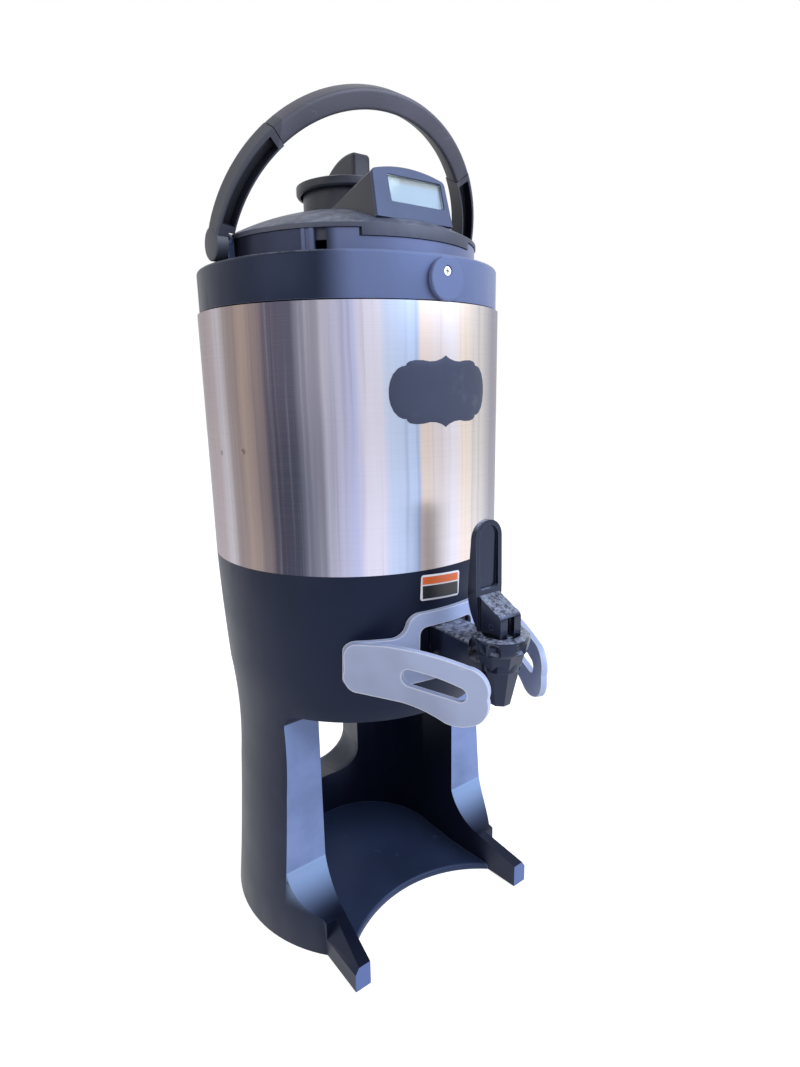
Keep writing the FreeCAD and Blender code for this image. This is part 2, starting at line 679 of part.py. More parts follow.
def make_vessel():
    shell = turned("body_shell", [
        ("0", "vessel_foot"),
        ("vessel_rad", "vessel_foot"),
        ("vessel_rad", "base_height"),
        ("body_rad", "base_height"),
        ("body_rad", "steel_top"),
        ("mouth_rad + 7", "steel_top"),
        ("mouth_rad + 7", "steel_top - sheet"),
        ("body_rad - sheet", "steel_top - sheet"),
        ("body_rad - sheet", "base_height + sheet"),
        ("vessel_rad - sheet", "base_height + sheet"),
        ("vessel_rad - sheet", "vessel_foot + sheet"),
        ("0", "vessel_foot + sheet"),
    ])
    hole = sketch(shell, "XZ_Plane", [("0", "tap_height", "shank_rad + play")], lift="vessel_rad - 10")
    pocket(shell, hole, "20", back=True)
    cushion_out = "vessel_rad - cushion_edge"
    cushion = ring_path(f"{cushion_out} - cushion_width", cushion_out, "roof_top", "vessel_foot")
    turned("vessel_cushion", cushion)
    neck = "mouth_top - mouth_depth"
    liner = turned("inner_liner", [
        ("0", "liner_floor"),
        ("liner_rad - 5", "liner_floor"),
        ("liner_rad - 0.7", "liner_floor + 1.7", "liner_rad + sheet", "liner_floor + 6"),
        ("liner_rad + sheet", f"{neck} - 12"),
        ("mouth_rad + sheet", neck),
        ("mouth_rad + sheet", "steel_top"),
        ("flange_rad", "steel_top"),
        ("flange_rad", "mouth_top"),
        ("mouth_rad", "mouth_top"),
        ("mouth_rad", f"{neck} - 0.5"),
        ("liner_rad", f"{neck} - 12.5"),
        ("liner_rad", "liner_floor + 6"),
        ("liner_rad - 1.5", "liner_floor + 2.5", "liner_rad - 5", "liner_floor + sheet"),
        ("0", "liner_floor + sheet"),
    ])
    hole = sketch(liner, "XZ_Plane", [("0", "tap_height", "shank_rad + 2.2")], lift="liner_rad - 10")
    pocket(liner, hole, "20", back=True)
    spud = new_body("outlet_spud")
    rings = [("0", "tap_height", "shank_rad + 2.2"), ("0", "tap_height", "shank_rad")]
    face = sketch(spud, "XZ_Plane", rings, lift="liner_rad - 2")
    pad(spud, face, "vessel_rad - liner_rad - sheet + 1.5")


def make_collar():
    foot = "collar_rad - collar_wall"
    collar = turned("top_collar", [
        ("land_rad", "land_low"),
        ("land_rad + 4", "land_low"),
        ("land_rad + 4", "steel_top"),
        ("land_rad + 7", "steel_top"),
        ("land_rad + 7", "land_low"),
        (foot, "land_low"),
        (foot, "collar_foot"),
        ("collar_rad", "collar_foot"),
        ("collar_rad", "collar_top - 2.5"),
        ("collar_rad - 0.73", "collar_top - 0.73", "collar_rad - 2.5", "collar_top"),
        ("land_rad", "collar_top"),
    ])
    ear = [
        ("-pivot_back - ear_rad", "collar_top - 1"),
        ("-pivot_back + ear_rad", "collar_top - 1"),
        ("-pivot_back + ear_rad", "pivot_height"),
        ("-pivot_back", "pivot_height + ear_rad", "-pivot_back - ear_rad", "pivot_height"),
    ]
    right = pad(collar, sketch(collar, "YZ_Plane", [ear], lift="ear_in"), "ear_thick")
    mirrored(collar, [right])
    bore = sketch(collar, "YZ_Plane", [("-pivot_back", "pivot_height", "pivot_rad")])
    pocket(collar, bore, "2 * body_rad", middle=True)
    notch = [
        ("-9.5", "skirt_rad - 4"),
        ("9.5", "skirt_rad - 4"),
        ("9.5", "skirt_rad + lug_reach + 0.8"),
        ("-9.5", "skirt_rad + lug_reach + 0.8"),
    ]
    cut = pocket(collar, sketch(collar, "XY_Plane", [notch], lift="collar_top + 1"), "land_thick + 2")
    polar(collar, [cut], 3)
    hole = sketch(
        collar,
        "XZ_Plane",
        [("0", "disc_height + disc_offset", "screw_rad")],
        lift="collar_rad + 5",
    )
    pocket(collar, hole, "collar_wall + 6")
    pins = new_body("pivot_pins")
    face = sketch(pins, "YZ_Plane", [("-pivot_back", "pivot_height", "pivot_rad")], lift="ear_in + 0.2")
    pin = pad(pins, face, "outer_rad - ear_in - 1.5")
    mirrored(pins, [pin])
    disc = new_body("collar_boss")
    face = sketch(disc, "XZ_Plane", [("0", "disc_height", "disc_rad")], lift="collar_rad + 0.1")
    pad(disc, face, "disc_thick")
    dress(disc, "Fillet", "1", lambda p, e: near(p.y, "-collar_rad - 0.1 - disc_thick"))
    sink = [("0", "disc_height + disc_offset", "screw_head + 0.4")]
    pocket(disc, sketch(disc, "XZ_Plane", sink, lift="collar_rad + disc_thick + 2"), "disc_thick + 0.4")
    sink = [("0", "disc_height + disc_offset", "screw_rad")]
    pocket(disc, sketch(disc, "XZ_Plane", sink, lift="collar_rad + disc_thick + 2"), "disc_thick + 5")
    screw = new_body("boss_screw")
    spot = ("0", "disc_height + disc_offset")
    face = sketch(screw, "XZ_Plane", [(*spot, "screw_head")], lift="collar_rad + 1.6 + play / 3")
    pad(screw, face, "1.6")
    face = sketch(screw, "XZ_Plane", [(*spot, "screw_rad - 0.05")], lift="collar_rad + 1.7 + play / 3")
    pad(screw, face, "8", back=True)


def handle_body(name):
    body = new_body(name, ("0", "-pivot_back", "pivot_height"))
    body.Placement.Rotation = Rotation(Vector(1, 0, 0), 1)
    body.setExpression("Placement.Rotation.Angle", ex("handle_lean"))
    return body


def arch_path(inner, outer, start, stop, side=""):
    """A ring sector in the handle's plane, angles from its top."""
    middle = f"(({start}) + ({stop})) / 2"

    def spot(rad, angle):
        return f"{side}({rad}) * sin({angle})", f"({rad}) * cos({angle})"

    return [
        spot(inner, start),
        spot(outer, start),
        (*spot(outer, middle), *spot(outer, stop)),
        spot(inner, stop),
        (*spot(inner, middle), *spot(inner, start)),
    ]


def make_handle():
    grip = handle_body("handle_grip")
    face = sketch(grip, "XZ_Plane", [arch_path("inner_rad", "outer_rad", "-47.2", "47.2")])
    pad(grip, face, "handle_width", middle=True)
    dress(grip, "Fillet", "grip_round", grip_edge)
    for name, side in (("handle_leg_left", "-"), ("handle_leg_right", "")):
        leg = handle_body(name)
        face = sketch(leg, "XZ_Plane", [arch_path("inner_rad", "outer_rad", "47.5", "89", side)])
        pad(leg, face, "handle_width", middle=True)
        start = f"{side}hub_in"
        hub = sketch(leg, "YZ_Plane", [("0", "0", "hub_rad")], lift=start)
        pad(leg, hub, "outer_rad - hub_in", back=side == "-")
        room = sketch(leg, "YZ_Plane", [("0", "0", "hub_rad + 4")], lift=start)
        pocket(leg, room, "20", back=side == "-")
        bore = sketch(leg, "YZ_Plane", [("0", "0", "pivot_rad + slip")], lift=f"{side}(outer_rad - 1)")
        pocket(leg, bore, "20", back=side == "-")
        inner = "handle_rad - channel_width / 2"
        outer = "handle_rad + channel_width / 2"
        channel = arch_path(inner, outer, "50", "80", side)
        slot = sketch(leg, "XZ_Plane", [channel], lift="handle_width / 2")
        pocket(leg, slot, "channel_depth")


def grip_edge(point, edge):
    """The long edges of the grip."""
    return near(abs(point.y), "handle_width / 2") and edge.Length > val("2 * handle_thick")


def dome_curve(drop):
    """Rim, middle and crown of the dome, lowered by its wall."""
    return (
        ("lid_rad", f"rim_top - {drop}"),
        ("dome_mid_rad", f"dome_mid_height - {drop}"),
        ("neck_rad + play", f"crown_height - {drop}"),
    )


def make_lid():
    skirt = turned("lid_skirt", [
        ("skirt_in - 11", "skirt_foot"),
        ("skirt_rad", "skirt_foot"),
        ("skirt_rad", "skirt_top"),
        ("skirt_in", "skirt_top"),
        ("skirt_in", "skirt_foot + 2.5"),
        ("skirt_in - 11", "skirt_foot + 2.5"),
    ])
    lip = wedge_path("lip_half + 1", "2 * body_rad")
    pocket(skirt, sketch(skirt, "XY_Plane", [lip], lift="skirt_top + 1"), "lip_drop + 1")
    for angle in ("rib_angle", "rib_angle + rib_pitch"):
        rib = skirt_mark(skirt, angle, "rib_half", "skirt_rad + rib_out")
        pad(skirt, rib, "rib_out + skirt_wall / 2", back=True)
    slot = skirt_mark(skirt, "slot_angle", "slot_half", "skirt_rad + 1")
    pocket(skirt, slot, "skirt_wall + 2")
    lug = [
        ("-9", "skirt_rad - 1.5"),
        ("9", "skirt_rad - 1.5"),
        ("9", "skirt_rad + lug_reach - 0.5"),
        ("0", "skirt_rad + lug_reach", "-9", "skirt_rad + lug_reach - 0.5"),
    ]
    low = "land_low - play - lug_height"
    face = sketch(skirt, "XY_Plane", [lug], lift=low, turn=(Vector(0, 0, -1), "lug_turn"))
    polar(skirt, [pad(skirt, face, "lug_height")], 3)
    rim, middle, crown = dome_curve("0")
    rim_in, middle_in, crown_in = dome_curve("dome_wall")
    cover = turned("lid_cover", [
        ("lid_rad", "rim_low"),
        rim,
        (*middle, *crown),
        crown_in,
        (*middle_in, "skirt_in - 3", "rim_top - dome_wall + 1.2"),
        ("skirt_in - 3", "rim_low - 7"),
        ("skirt_in - play", "rim_low - 7"),
        ("skirt_in - play", "rim_low"),
    ])
    strip = ring_path("skirt_in", "lid_rad", "rim_low - lip_drop", "rim_low + 1")
    face = sketch(cover, "XZ_Plane", [strip], turn=(Vector(0, -1, 0), "90"))
    spin(cover, "Revolution", face, angle="2 * lip_half", middle=True)
    turned("lid_plug", [
        ("tube_rad + play", "flange_low - plug_depth"),
        ("plug_rad", "flange_low - plug_depth"),
        ("plug_rad", "flange_low"),
        ("skirt_in - 1", "flange_low"),
        ("skirt_in - 1", "flange_top"),
        ("plug_rad - 3", "flange_top"),
        ("plug_rad - 3", "flange_low - plug_depth + 3"),
        ("tube_rad + 3", "flange_low - plug_depth + 3"),
        ("tube_rad + 3", "flange_top + 4"),
        ("tube_rad + play", "flange_top + 4"),
    ])
    turned("lid_gasket", ring_path("mouth_rad + 3.5", "flange_rad - 3", "gasket_low", "flange_low"))
    screws = new_body("lid_screws")
    spot = "skirt_in - 6"
    head = sketch(screws, "XY_Plane", [(spot, "0", "screw_head")], lift="skirt_foot + 2.5")
    polar(screws, [pad(screws, head, "1.8")], 4)
    turned("brew_funnel", [
        ("tube_rad", "tube_foot"),
        ("tube_rad", "flange_top + 6"),
        ("neck_in - play", "crown_height - 16"),
        ("neck_in - play", "crown_height - 8"),
        ("neck_in - 2 - play", "crown_height - 8"),
        ("neck_in - 2 - play", "crown_height - 15.5"),
        ("tube_rad - 2", "flange_top + 6"),
        ("tube_rad - 2", "tube_foot"),
    ])
    neck = turned("fill_neck", [
        ("neck_in", "crown_height - 17"),
        ("neck_rad", "crown_height - 17"),
        ("neck_rad", "neck_top - 1"),
        ("neck_rad - 1", "neck_top"),
        ("neck_in", "neck_top"),
    ])
    lug = [
        ("neck_rad - 1.5", "crown_height + 1"),
        ("neck_rad + 4", "crown_height + 4"),
        ("hinge_reach + knuckle_rad", "hinge_height"),
        ("hinge_reach", "hinge_height + knuckle_rad", "brim_rad + 1", "hinge_height"),
        ("brim_rad + 1", "brim_low - brim_lip - 1.5"),
        ("neck_rad - 1.5", "brim_low - brim_lip - 1.5"),
    ]
    face = sketch(neck, "YZ_Plane", [lug], lift="knuckle_half + play")
    right = pad(neck, face, "lug_width")
    mirrored(neck, [right])
    bore = sketch(neck, "YZ_Plane", [("hinge_reach", "hinge_height", "hinge_rad")])
    pocket(neck, bore, "60", middle=True)


def skirt_mark(body, angle, half, lift):
    """An upright strip over the visible height of the lid skirt, turned to the left."""
    strip = ring_path(f"-{half}", half, "collar_top + play", "skirt_top")
    return sketch(body, "XZ_Plane", [strip], lift=lift, turn=(Vector(0, -1, 0), angle))


def wedge_path(half, reach):
    """A wedge that opens towards the front, as seen from above."""
    return [
        ("0", "0"),
        (f"-{reach} * sin({half})", f"-{reach} * cos({half})"),
        (f"{reach} * sin({half})", f"-{reach} * cos({half})"),
    ]


def make_cap():
    cap = turned("fill_cap", [
        ("0", "brim_low - 8"),
        ("plug_in", "brim_low - 8"),
        ("plug_in", "brim_low"),
        ("brim_rad - 3", "brim_low"),
        ("brim_rad - 3", "brim_low - brim_lip"),
        ("brim_rad - 1", "brim_low - brim_lip"),
        ("brim_rad", "brim_low - brim_lip + 1.5"),
        ("brim_rad", "brim_top - 1"),
        ("brim_rad * 0.55", "brim_top + cap_crown * 0.75", "0", "brim_top + cap_crown"),
    ])
    tab = [
        ("-tab_front", "brim_top"),
        ("tab_rear", "brim_top"),
        ("tab_rear", "brim_top + 6"),
        ("-2", "tab_top - 1", "-tab_front + 3", "tab_top"),
        ("-tab_front + 0.9", "tab_top - 0.9", "-tab_front", "tab_top - 3"),
    ]
    pad(cap, sketch(cap, "YZ_Plane", [tab]), "2 * tab_half", middle=True)
    dress(cap, "Fillet", "3", tab_edge)
    knuckle = [
        ("brim_rad - 2", "brim_low - brim_lip + 0.5"),
        ("hinge_reach", "hinge_height - knuckle_rad"),
        ("hinge_reach + knuckle_rad", "hinge_height", "hinge_reach", "hinge_height + knuckle_rad"),
        ("brim_rad - 2", "brim_top - 1.5"),
    ]
    pad(cap, sketch(cap, "YZ_Plane", [knuckle]), "2 * knuckle_half - 2 * play", middle=True)
    bore = sketch(cap, "YZ_Plane", [("hinge_reach", "hinge_height", "hinge_rad + slip")])
    pocket(cap, bore, "60", middle=True)
    turned("cap_seal", ring_path("plug_in", "neck_in - 0.6", "brim_low - 7", "brim_low - 4"))
    pin = new_body("cap_hinge_pin")
    face = sketch(pin, "YZ_Plane", [("hinge_reach", "hinge_height", "hinge_rad")])
    pad(pin, face, "2 * (knuckle_half + lug_width)", middle=True)


def tab_edge(point, edge):
    """The long upper edges of the thumb tab."""
    return near(abs(point.x), "tab_half") and point.z > val("brim_top + 7") and edge.Length > val("tab_half + 2")


def face_path(shrink, low, high):
    """The display face: a trapezium with an arched top, in its own tilted plane."""
    slope = "(face_half_low - face_half_high) / face_run"
    wide = f"(face_half_low - ({low}) * {slope} - {shrink})"
    slim = f"(face_half_low - ({high}) * {slope} - {shrink})"
    return [
        (f"-{wide}", low),
        (wide, low),
        (slim, high),
        ("0", f"{high} + face_arch", f"-{slim}", high),
    ]


def tilted(body, shapes, depth):
    """A sketch in a plane behind the display face, leaning back with it."""
    sk = sketch(body, "XZ_Plane", shapes, turn=(Vector(-1, 0, 0), "face_tilt"))
    sk.setExpression("AttachmentOffset.Base.y", ex(f"face_foot - ({depth}) * sin(face_tilt)"))
    sk.setExpression("AttachmentOffset.Base.z", ex(f"face_low - ({depth}) * cos(face_tilt)"))
    return sk


def make_display():
    high = "face_run"
    housing = new_body("display_housing")
    face = tilted(housing, [face_path("0", "0", high)], "bezel_thick")
    pad(housing, face, "face_low - bezel_thick", back=True)
    dress(housing, "Fillet", "face_round", top_corner)
    room = box_path("window_left - 1.5", "window_low - 2", "window_right + 1.5", "window_high + 2", "2")
    pocket(housing, tilted(housing, [room], "bezel_thick"), "16")
    clear_dome(housing)
    neck = ring_path("0", "neck_rad + play", "crown_height - 20", "neck_top")
    spin(housing, "Groove", sketch(housing, "XZ_Plane", [neck]))
    bezel = new_body("display_bezel")
    window = box_path("window_left", "window_low", "window_right", "window_high", "1.5")
    face = tilted(bezel, [face_path("0", "0.6", high), window], "0")
    pad(bezel, face, "bezel_thick - 0.05", back=True)
    dress(bezel, "Fillet", "face_round", top_corner)
    clear_dome(bezel)
    dress(bezel, "Fillet", "0.8", bezel_edge)
    layer("display_lens", "1", "1.2", "0.1", "0.1")
    layer("lcd_panel", "bezel_thick + 0.1", "2", "-1", "0.8")
    layer("circuit_board", "bezel_thick + 2.4", "1.6", "-1.3", "3")
    cell = new_body("coin_cell")
    spot = ("window_side", "window_low + window_tall / 2", "8")
    pad(cell, tilted(cell, [spot], "bezel_thick + 4.1"), "3.2", back=True)


def clear_dome(body):
    """Cut a lid fitting so that it stands on the dome."""
    rim, middle, crown = dome_curve("-play / 3")
    dome = [("0", "rim_low - 20"), (rim[0], "rim_low - 20"), rim, (*middle, *crown), ("0", crown[1])]
    spin(body, "Groove", sketch(body, "XZ_Plane", [dome]))


def bezel_edge(point, edge):
    """The outer edges of the bezel's front."""
    lean = val("(face_low - face_high) / (face_top - face_foot)")
    front = -val("face_low") + (point.z - val("face_foot")) * lean
    across = val("window_left - 1") < point.x < val("window_right + 1")
    inside = across and point.z < val("face_foot + window_high + 1")
    return abs(point.y - front) < 0.1 and not inside and point.z > val("face_foot + 3")


def top_corner(point, edge):
    """The upper corners of the display, which run from front to back."""
    return near(abs(point.x), "face_half_high", 0.3)


def layer(name, depth, thick, trim, lift):
    """A flat plate stacked behind the display window."""
    body = new_body(name)
    plate = box_path(
        f"window_left + {trim}",
        f"window_low + {lift}",
        f"window_right - {trim}",
        f"window_high - {trim}",
        "1.2",
    )
    pad(body, tilted(body, [plate], depth), thick, back=True)


def make_tap():
    plate = new_body("recess_plate")
    outline = box_path("-plate_half", "plate_low", "plate_half", "plate_high", "5.7")
    spots = [("-19.5", "plate_low + 12", "screw_rad"), ("19.5", "plate_low + 12", "screw_rad")]
    shank = ("0", "tap_height", "shank_rad + play")
    face = sketch(plate, "XZ_Plane", [outline, shank, *spots], lift="tap_flat")
    pad(plate, face, "recess_thick")
    screws = new_body("plate_screws")
    heads = [(x, y, "screw_head") for x, y, _ in spots]
    pad(screws, sketch(screws, "XZ_Plane", heads, lift="plate_front"), "1.6")
    shanks = [(x, y, "screw_rad - 0.05") for x, y, _ in spots]
    pad(screws, sketch(screws, "XZ_Plane", shanks, lift="plate_front"), "recess_thick", back=True)
    tube("tap_shank", "shank_rad", "shank_bore", "liner_rad - 6", "tap_reach - nut_rad - 1")
    tube("shank_washer", "washer_rad", "shank_rad + 0.1", "plate_front", "washer_front")
    nut = new_body("shank_nut")
    corners = [
        (f"hex_rad * cos({turn})", f"tap_height + hex_rad * sin({turn})") for turn in range(0, 360, 60)
    ]
    thread = ("0", "tap_height", "shank_rad + 0.05")
    face = sketch(nut, "XZ_Plane", [corners, thread], lift="vessel_rad + play")
    pad(nut, face, "well_rad - vessel_rad - 1.4")
    make_valve()


def tube(name, outer, inner, near_end, far_end):
    """A round tube along the shank's axis."""
    body = new_body(name)
    rings = [("0", "tap_height", outer), ("0", "tap_height", inner)]
    pad(body, sketch(body, "XZ_Plane", rings, lift=near_end), f"{far_end} - ({near_end})")


TAP = ("0", "-tap_reach", "0")


def make_valve():
    valve = new_body("valve_body", TAP)
    rings = []
    for height, rad in (("spout_height", "spout_tip"), ("nut_low", "spout_top")):
        turns = [45 * step + 22.5 for step in range(8)]
        corners = [(f"{rad} * cos({turn})", f"{rad} * sin({turn})") for turn in turns]
        rings.append(sketch(valve, "XY_Plane", [corners], lift=height))
    loft = feature(valve, "AdditiveLoft", rings[0])
    loft.Sections = [rings[1]]
    loft.Ruled = True
    rim = ring_path("0", "spout_top - 0.5", "nut_low - 4", "rim_height")
    spin(valve, "Revolution", sketch(valve, "XZ_Plane", [rim]))
    outline = box_path("-neck_half", "neck_low", "neck_half", "neck_high", "neck_round")
    neck = sketch(valve, "XZ_Plane", [outline], lift="-(tap_reach - washer_front)")
    pad(valve, neck, "tap_reach - washer_front - 4")
    way = [
        ("0", "spout_height - 1"),
        ("spout_bore", "spout_height - 1"),
        ("spout_bore", "seat_height"),
        ("chamber_rad", "seat_height"),
        ("chamber_rad", "rim_height + 1"),
        ("0", "rim_height + 1"),
    ]
    spin(valve, "Groove", sketch(valve, "XZ_Plane", [way]))
    room = [
        ("0", "rim_height"),
        ("spout_top - 0.5", "rim_height"),
        ("spout_top - 0.5", "nut_low - play"),
        ("nut_rad + nut_room", "nut_low - play"),
        ("nut_rad + nut_room", "neck_high + 1"),
        ("0", "neck_high + 1"),
    ]
    spin(valve, "Groove", sketch(valve, "XZ_Plane", [room]))
    start = "-(tap_reach - washer_front + 1)"
    bore = sketch(valve, "XZ_Plane", [("0", "tap_height", "shank_rad + 0.05")], lift=start)
    pocket(valve, bore, "tap_reach - nut_rad - washer_front + 0.2", back=True)
    bore = sketch(valve, "XZ_Plane", [("0", "tap_height", "shank_bore")], lift="-20")
    pocket(valve, bore, "16", back=True)
    turned("bonnet", [
        ("stem_rad + slip", "rim_height"),
        ("coil_rad + 2.2", "rim_height"),
        ("coil_rad + 2.2", "rim_height - 4"),
        ("chamber_rad - 0.2", "rim_height - 4"),
        ("chamber_rad - 0.2", "rim_height"),
        ("spout_top - 1", "rim_height"),
        ("spout_top - 1", "rim_height + 2.6"),
        ("foot_front + 2.6", "rim_height + 2.6"),
        ("foot_front + 0.8", "bonnet_top - 3", "foot_front - 0.6", "bonnet_top"),
        ("stem_rad + slip", "bonnet_top"),
    ], TAP)
    nut = turned("bonnet_nut", [
        ("spout_top - 0.3", "nut_low"),
        ("nut_rad", "nut_low"),
        ("nut_rad", "nut_high - 1.5"),
        ("nut_rad - 1.5", "nut_high"),
        ("foot_front + 3.2", "nut_high"),
        ("foot_front + 3.2", "rim_height + 2.7"),
        ("spout_top - 0.3", "rim_height + 2.7"),
    ], TAP)
    dent = sketch(nut, "XY_Plane", [("nut_rad + 1.2", "0", "scallop_rad")], lift="nut_high + 1")
    polar(nut, [pocket(nut, dent, "nut_high - nut_low + 2")], 8)
    turned("seat_cup", [
        ("0", "seat_height + 0.2"),
        ("chamber_rad - 1.6", "seat_height + 0.2"),
        ("chamber_rad - 1.6", "seat_height + 1.6"),
        ("chamber_rad - 4", "seat_height + 5.8"),
        ("stem_rad", "seat_height + 5.8"),
        ("stem_rad", "seat_height + 2"),
        ("0", "seat_height + 2"),
    ], TAP)
    stem = turned("valve_stem", [
        ("0", "seat_height + 2"),
        ("stem_rad", "seat_height + 2"),
        ("stem_rad", "seat_height + 6"),
        ("coil_rad + 1.2", "seat_height + 6"),
        ("coil_rad + 1.2", "seat_height + 7.4"),
        ("stem_rad", "seat_height + 7.4"),
        ("stem_rad", "pin_height + pin_rad + 1.5"),
        ("stem_rad - 1.2", "pin_height + pin_rad + 2.7"),
        ("0", "pin_height + pin_rad + 2.7"),
    ], TAP)
    bore = sketch(stem, "YZ_Plane", [("0", "pin_height", "pin_rad")])
    pocket(stem, bore, "20", middle=True)
    pin = new_body("lever_pin", TAP)
    face = sketch(pin, "YZ_Plane", [("0", "pin_height", "pin_rad")])
    pad(pin, face, "2 * foot_half - 0.4", middle=True)
    coil = "coil_rad - coil_wire / 2", "coil_rad + coil_wire / 2"
    turned("stem_spring", ring_path(*coil, "seat_height + 7.5", "rim_height - 0.1"), TAP)


def make_lever():
    lever = new_body("tap_lever", ("0", "-tap_reach", "pin_height"))
    back = "blade_back + blade_thick"
    profile = [
        ("blade_back", "-foot_drop"),
        ("blade_back + blade_lean", "blade_top + 1"),
        ("blade_back + blade_lean + blade_tip", "blade_top + 1"),
        (f"{back} - 1.7", "blade_top * 0.57", f"{back} - 0.1", "blade_top * 0.3"),
        (f"{back} - 1.9", "blade_top * 0.11", f"{back} - 7", "blade_top * -0.04"),
        (f"{back} - 9", "-foot_drop"),
    ]
    pad(lever, sketch(lever, "YZ_Plane", [profile]), "2 * blade_half + 2", middle=True)
    outside = ring_path("-2 * blade_half", "2 * blade_half", "-foot_drop - 5", "blade_top + 5")
    spoon = blade_path("0", "-foot_drop - 1")
    pocket(lever, sketch(lever, "XZ_Plane", [outside, spoon]), "100", middle=True)
    foot = [
        ("-foot_front", "-foot_drop"),
        ("blade_back + 1", "-foot_drop"),
        ("blade_back + 1", "foot_heel"),
        ("-foot_front + 5", "foot_rise"),
        ("-foot_front + 1.46", "foot_rise - 1.46", "-foot_front", "foot_rise - 5"),
    ]
    pad(lever, sketch(lever, "YZ_Plane", [foot]), "2 * foot_half", middle=True)
    hollow = blade_path("blade_rim", "foot_heel + blade_rim")
    face = sketch(lever, "XZ_Plane", [hollow], lift="-blade_back - blade_lean - blade_hollow")
    pocket(lever, face, "50", back=True)
    slot = ring_path("-stem_rad - play", "stem_rad + play", "-foot_drop - 5", "stem_rad + 4.4")
    face = sketch(lever, "XZ_Plane", [slot], lift="foot_front + 10")
    pocket(lever, face, "foot_front + 10 + stem_rad + 2.4")
    bore = sketch(lever, "YZ_Plane", [("0", "0", "pin_rad + slip")])
    pocket(lever, bore, "2 * foot_half - 0.2", middle=True)


def blade_path(inset, low):
    """The spoon outline of the lever blade with a round head."""
    half = f"(blade_half - {inset})"
    centre = "(blade_top - blade_half)"
    return [
        (f"-{half} + 1.5", low),
        (f"{half} - 1.5", low),
        (half, "foot_heel + 5"),
        (half, centre),
        ("0", f"{centre} + {half}", f"-{half}", centre),
        (f"-{half}", "foot_heel + 5"),
    ]


def make_guard():
    guard = new_body("tap_guard")
    foot, middle, head = shoulder_curve("guard_gap")
    foot_out, middle_out, head_out = shoulder_curve("guard_gap + guard_wall")
    strip = [foot, (*middle, *head), head_out, (*middle_out, *foot_out)]
    face = sketch(guard, "XZ_Plane", [strip], turn=(Vector(0, -1, 0), "90"))
    spin(guard, "Revolution", face, angle="84", middle=True)
    frame = [
        ("-ear_half", "ear_low + 8"),
        ("-ear_half + 2.3", "ear_low + 2.3", "-ear_half + 8", "ear_low"),
        ("ear_half - 8", "ear_low"),
        ("ear_half - 2.3", "ear_low + 2.3", "ear_half", "ear_low + 8"),
        ("ear_half", "ear_top - 8"),
        ("ear_half - 2.3", "ear_top - 2.3", "ear_half - 8", "ear_top"),
        ("frame_half + 10", "ear_top"),
        ("frame_half + 3", "ear_top + 2.4", "frame_half - 1", "ear_top + 8.5"),
        ("frame_half - 4.5", "frame_top - 2.5", "frame_half - 12", "frame_top"),
        ("-frame_half + 12", "frame_top"),
        ("-frame_half + 4.5", "frame_top - 2.5", "-frame_half + 1", "ear_top + 8.5"),
        ("-frame_half - 3", "ear_top + 2.4", "-frame_half - 10", "ear_top"),
        ("-ear_half + 8", "ear_top"),
        ("-ear_half + 2.3", "ear_top - 2.3", "-ear_half", "ear_top - 8"),
    ]
    outside = ring_path("-2 * body_rad", "2 * body_rad", "0", "2 * body_rad + 200")
    pocket(guard, sketch(guard, "XZ_Plane", [outside, frame]), "4 * body_rad", middle=True)
    wing = [
        ("0", "ear_low + 16"),
        ("1.4", "ear_low + 5", "11", "ear_low + 1.5"),
        ("45", "ear_low + 2"),
        ("60", "ear_low", "78", "ear_low - 2 - wing_droop"),
        ("wing_length - 19", "ear_low - 2.5 - wing_droop", "wing_length - 11", "ear_low - wing_droop"),
        ("wing_length - 2", "ear_low + 7 - wing_droop", "wing_length", "ear_low + 21 - wing_droop"),
        (
            "wing_length - 3.5",
            "ear_low + 36 - wing_droop",
            "wing_length - 14",
            "ear_low + 40.5 - wing_droop",
        ),
        ("58", "ear_low + 41", "33", "ear_low + 41"),
        ("11", "ear_low + 38.5"),
        ("2.5", "ear_low + 33.5", "0", "ear_low + 24"),
    ]
    slot = [
        ("51", "ear_low + 15"),
        ("88", "ear_low + 11.5"),
        ("93.5", "ear_low + 17.5", "89", "ear_low + 22"),
        ("76", "ear_low + 25", "51", "ear_low + 27.5"),
        ("45.5", "ear_low + 21.5", "51", "ear_low + 15"),
    ]
    face = sketch(guard, "XZ_Plane", [wing, slot], turn=(Vector(0, -1, 0), "wing_turn"))
    face.setExpression("AttachmentOffset.Base.x", ex("-ear_half"))
    face.setExpression("AttachmentOffset.Base.z", ex("wing_back"))
    left = pad(guard, face, "wing_thick", middle=True)
    window = box_path("-plate_half", "plate_low", "plate_half", "plate_high", "5.7")
    pocket(guard, sketch(guard, "XZ_Plane", [window], lift="tap_flat - 5"), "30", back=True)
    mirrored(guard, [left])


def sub_parts():
    make_base_shell()
    make_deck()
    make_pads()
    make_vessel()
    make_collar()
    make_handle()
    make_lid()
    make_cap()
    make_display()
    make_tap()
    make_lever()
    make_guard()


def check_all():
    """Stop if any object failed or any sub-part has no sound solid."""
    for item in doc.Objects:
        if "Invalid" in item.State or "Error" in item.State:
            raise ValueError(f"{item.Name} failed: {item.State}")
    for body in PIECES:
        if body.Shape.isNull() or not body.Shape.isValid() or not body.Shape.Solids:
            raise ValueError(f"{body.Label} has no sound solid")


sub_parts()
doc.recompute()
check_all()
os.makedirs("parts", exist_ok=True)
for body in PIECES:
    body.Shape.exportStep(os.path.join("parts", f"{body.Label}.step"))
print(len(PIECES), "sub-parts written")
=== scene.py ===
import math

import bmesh
import bpy
from mathutils import Matrix, Vector


